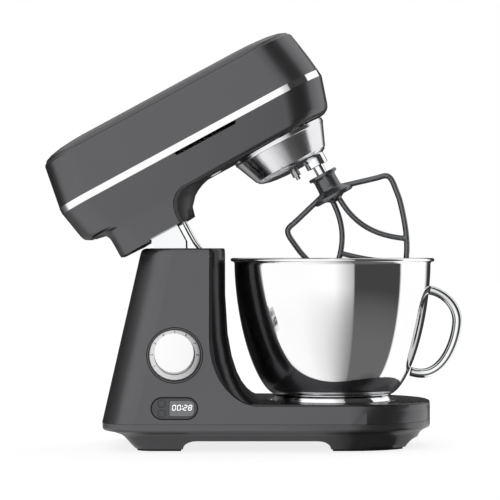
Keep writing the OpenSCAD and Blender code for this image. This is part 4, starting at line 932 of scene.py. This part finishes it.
def paper_floor():
    """Matt paper that keeps the object's shadow. Polished metal and glass see it as bright as the studio above it, with
    a painted contact shadow that darkens it close to the foot."""
    m = bpy.data.materials.new("matt_white_sweep")
    m.use_nodes = True
    t = m.node_tree
    t.nodes.clear()
    grey = look().floor_grey
    spot = node(t, "SeparateXYZ", Vector=node(t, "TexCoord").outputs["Object"])
    cloud = node(t, "TexNoise", Vector=node(t, "TexCoord").outputs["Object"], Scale=3.0, Detail=2.0).outputs["Fac"]
    tone = ramp(t, cloud, [(0.0, (grey * 0.99,)), (1.0, (grey,))])
    paper = node(t, "BsdfPrincipled", Base_Color=tone, Roughness=0.9)
    rays = node(t, "LightPath")
    glow = reading(t, "MULTIPLY", rays.outputs["Is Camera Ray"], look().floor_glow)
    lift = node(t, "Emission", Color=(1, 1, 1, 1), Strength=glow)
    shown = node(t, "AddShader", _0=paper.outputs[0], _1=lift.outputs[0])

    sideways = reading(t, "SUBTRACT", spot.outputs["X"], TURN_CENTRE[0])
    forwards = reading(t, "SUBTRACT", TURN_CENTRE[1], spot.outputs["Y"])
    turn = reading(t, "ARCTAN2", sideways, forwards)
    low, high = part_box("base_cover")
    over = []
    for i, axis in enumerate("XY"):
        off_middle = reading(t, "ABSOLUTE", reading(t, "SUBTRACT", spot.outputs[axis], (low[i] + high[i]) / 2))
        past_edge = reading(t, "SUBTRACT", off_middle, (high[i] - low[i]) / 2 - FOOT_INSET)
        over.append(reading(t, "MAXIMUM", past_edge, 0.0))
    squares = [reading(t, "MULTIPLY", part, part) for part in over]
    away = reading(t, "SQRT", reading(t, "ADD", *squares))
    near = studio(t, turn, PANEL_EDGE, 0.15, 0.45, DARK, LONG_FADE)
    far = studio(t, turn, PANEL_EDGE, 0.06, DARK, DARK, SHORT_FADE)
    around = between(t, ramp(t, away, NEAR_TO_FAR, "EASE"), near, far)
    # painted contact shadow: darkens the floor's reflection close to the foot of the base
    painted_contact_shadow = ramp(t, reading(t, "MULTIPLY", away, PAINTED_SHADOW_SCALE), PAINTED_CONTACT_SHADOW)
    seen = node(t, "Emission", Color=product(t, around, painted_contact_shadow), Strength=1.0)
    bright = reading(t, "MAXIMUM", rays.outputs["Is Glossy Ray"], rays.outputs["Is Transmission Ray"])
    both = node(t, "MixShader", Fac=bright, _1=shown.outputs[0], _2=seen.outputs[0])
    node(t, "OutputMaterial", Surface=both.outputs[0])
    return m


# The studio's height, as the upward part of a direction: where the floor's row of panels gives way to the walls, and
# the walls to the ceiling
WALLS_FROM = ((0.05, (0.0,)), (0.14, (1.0,)))
CEILING_FROM = ((0.3, (0.0,)), (0.5, (1.0,)))
# How bright each height is, from straight down at 0 to straight up at 1
HEIGHT_LEVELS = ((0.0, (0.45,)), (0.47, (0.9,)), (0.53, (1.0,)), (0.8, (1.0,)), (0.97, (0.8,)))


def soft_studio():
    """World: white to the camera, and a ring of soft panels with dark gaps to everything else."""
    world = bpy.data.worlds.new("soft_studio")
    world.use_nodes = True
    t = world.node_tree
    t.nodes.clear()
    way = node(t, "SeparateXYZ", Vector=node(t, "TexCoord").outputs["Generated"])
    turn = reading(t, "ARCTAN2", way.outputs["X"], reading(t, "MULTIPLY", way.outputs["Y"], -1.0))
    above = ramp(t, way.outputs["Z"], WALLS_FROM)
    ceiling = ramp(t, way.outputs["Z"], CEILING_FROM)
    lower = studio(t, turn, PANEL_EDGE, 0.05, DARK, DARK, SHORT_FADE)
    walls = studio(t, turn, HIGH_PANEL_EDGE, DARK, DARK, DARK, SHORT_FADE)
    overhead = studio(t, turn, HIGH_PANEL_EDGE, 0.05, CEILING, CEILING, SHORT_FADE)
    panels = between(t, ceiling, between(t, above, lower, walls), overhead)
    height = node(t, "MapRange", Value=way.outputs["Z"], **{"From Min": -1.0}).outputs["Result"]
    lit = node(t, "Background", Color=product(t, panels, ramp(t, height, HEIGHT_LEVELS)), Strength=1.0)
    seen = node(t, "Background", Color=(1, 1, 1, 1), Strength=1.0)
    rays = node(t, "LightPath").outputs["Is Camera Ray"]
    both = node(t, "MixShader", Fac=rays, _1=lit.outputs[0], _2=seen.outputs[0])
    node(t, "OutputWorld", Surface=both.outputs[0])
    return world


# A long lens, level and a little under the middle of the object, looking along +Y
CAMERA_AT = (-0.005, -2.4, 0.2145)
FOCAL_LENGTH, SENSOR_WIDTH, CLIP_END = 157, 36, 60


class BuildStage(bpy.types.Operator):
    """Sets the floor, the studio light and the camera"""

    bl_idname = "mixer.stage"
    bl_label = "Stage"

    def execute(self, context):
        scene = context.scene
        bm = bmesh.new()
        bmesh.ops.create_grid(bm, x_segments=2, y_segments=2, size=FLOOR_HALF)
        mesh = bpy.data.meshes.new("floor")
        bm.to_mesh(mesh)
        bm.free()
        floor = bpy.data.objects.new("floor", mesh)
        scene.collection.objects.link(floor)
        mesh.materials.append(paper_floor())
        scene.world = soft_studio()

        lens = bpy.data.cameras.new("camera")
        camera = bpy.data.objects.new("camera", lens)
        scene.collection.objects.link(camera)
        camera.location = CAMERA_AT
        camera.rotation_euler = (math.pi / 2, 0, 0)
        lens.lens = FOCAL_LENGTH
        lens.sensor_width = SENSOR_WIDTH
        lens.clip_end = CLIP_END
        scene.camera = camera
        scene.view_settings.view_transform = "Standard"
        return {"FINISHED"}


class MixerPanel(bpy.types.Panel):
    bl_idname = "VIEW3D_PT_mixer"
    bl_label = "Stand mixer"
    bl_space_type = "VIEW_3D"
    bl_region_type = "UI"
    bl_category = "Mixer"

    def draw(self, context):
        for group in (context.scene.mixer_look, context.scene.mixer_sizes):
            for key in group.__annotations__:
                self.layout.prop(group, key)
        for operator in OPERATORS:
            self.layout.operator(operator.bl_idname)


OPERATORS = (BuildHousings, BuildBowl, BuildBeater, BuildDrive, BuildHeadTrim, BuildKnob, BuildDisplay, FinishInside,
             BuildStage)
CLASSES = (MixerLook, MixerSizes, *OPERATORS, MixerPanel)


def register():
    for cls in CLASSES:
        bpy.utils.register_class(cls)
    bpy.types.Scene.mixer_look = PointerProperty(type=MixerLook)
    bpy.types.Scene.mixer_sizes = PointerProperty(type=MixerSizes)


def unregister():
    del bpy.types.Scene.mixer_sizes
    del bpy.types.Scene.mixer_look
    for cls in reversed(CLASSES):
        bpy.utils.unregister_class(cls)


def main():
    register()
    for operator in OPERATORS:
        group, name = operator.bl_idname.split(".")
        getattr(getattr(bpy.ops, group), name)()


if __name__ == "__main__":
    main()
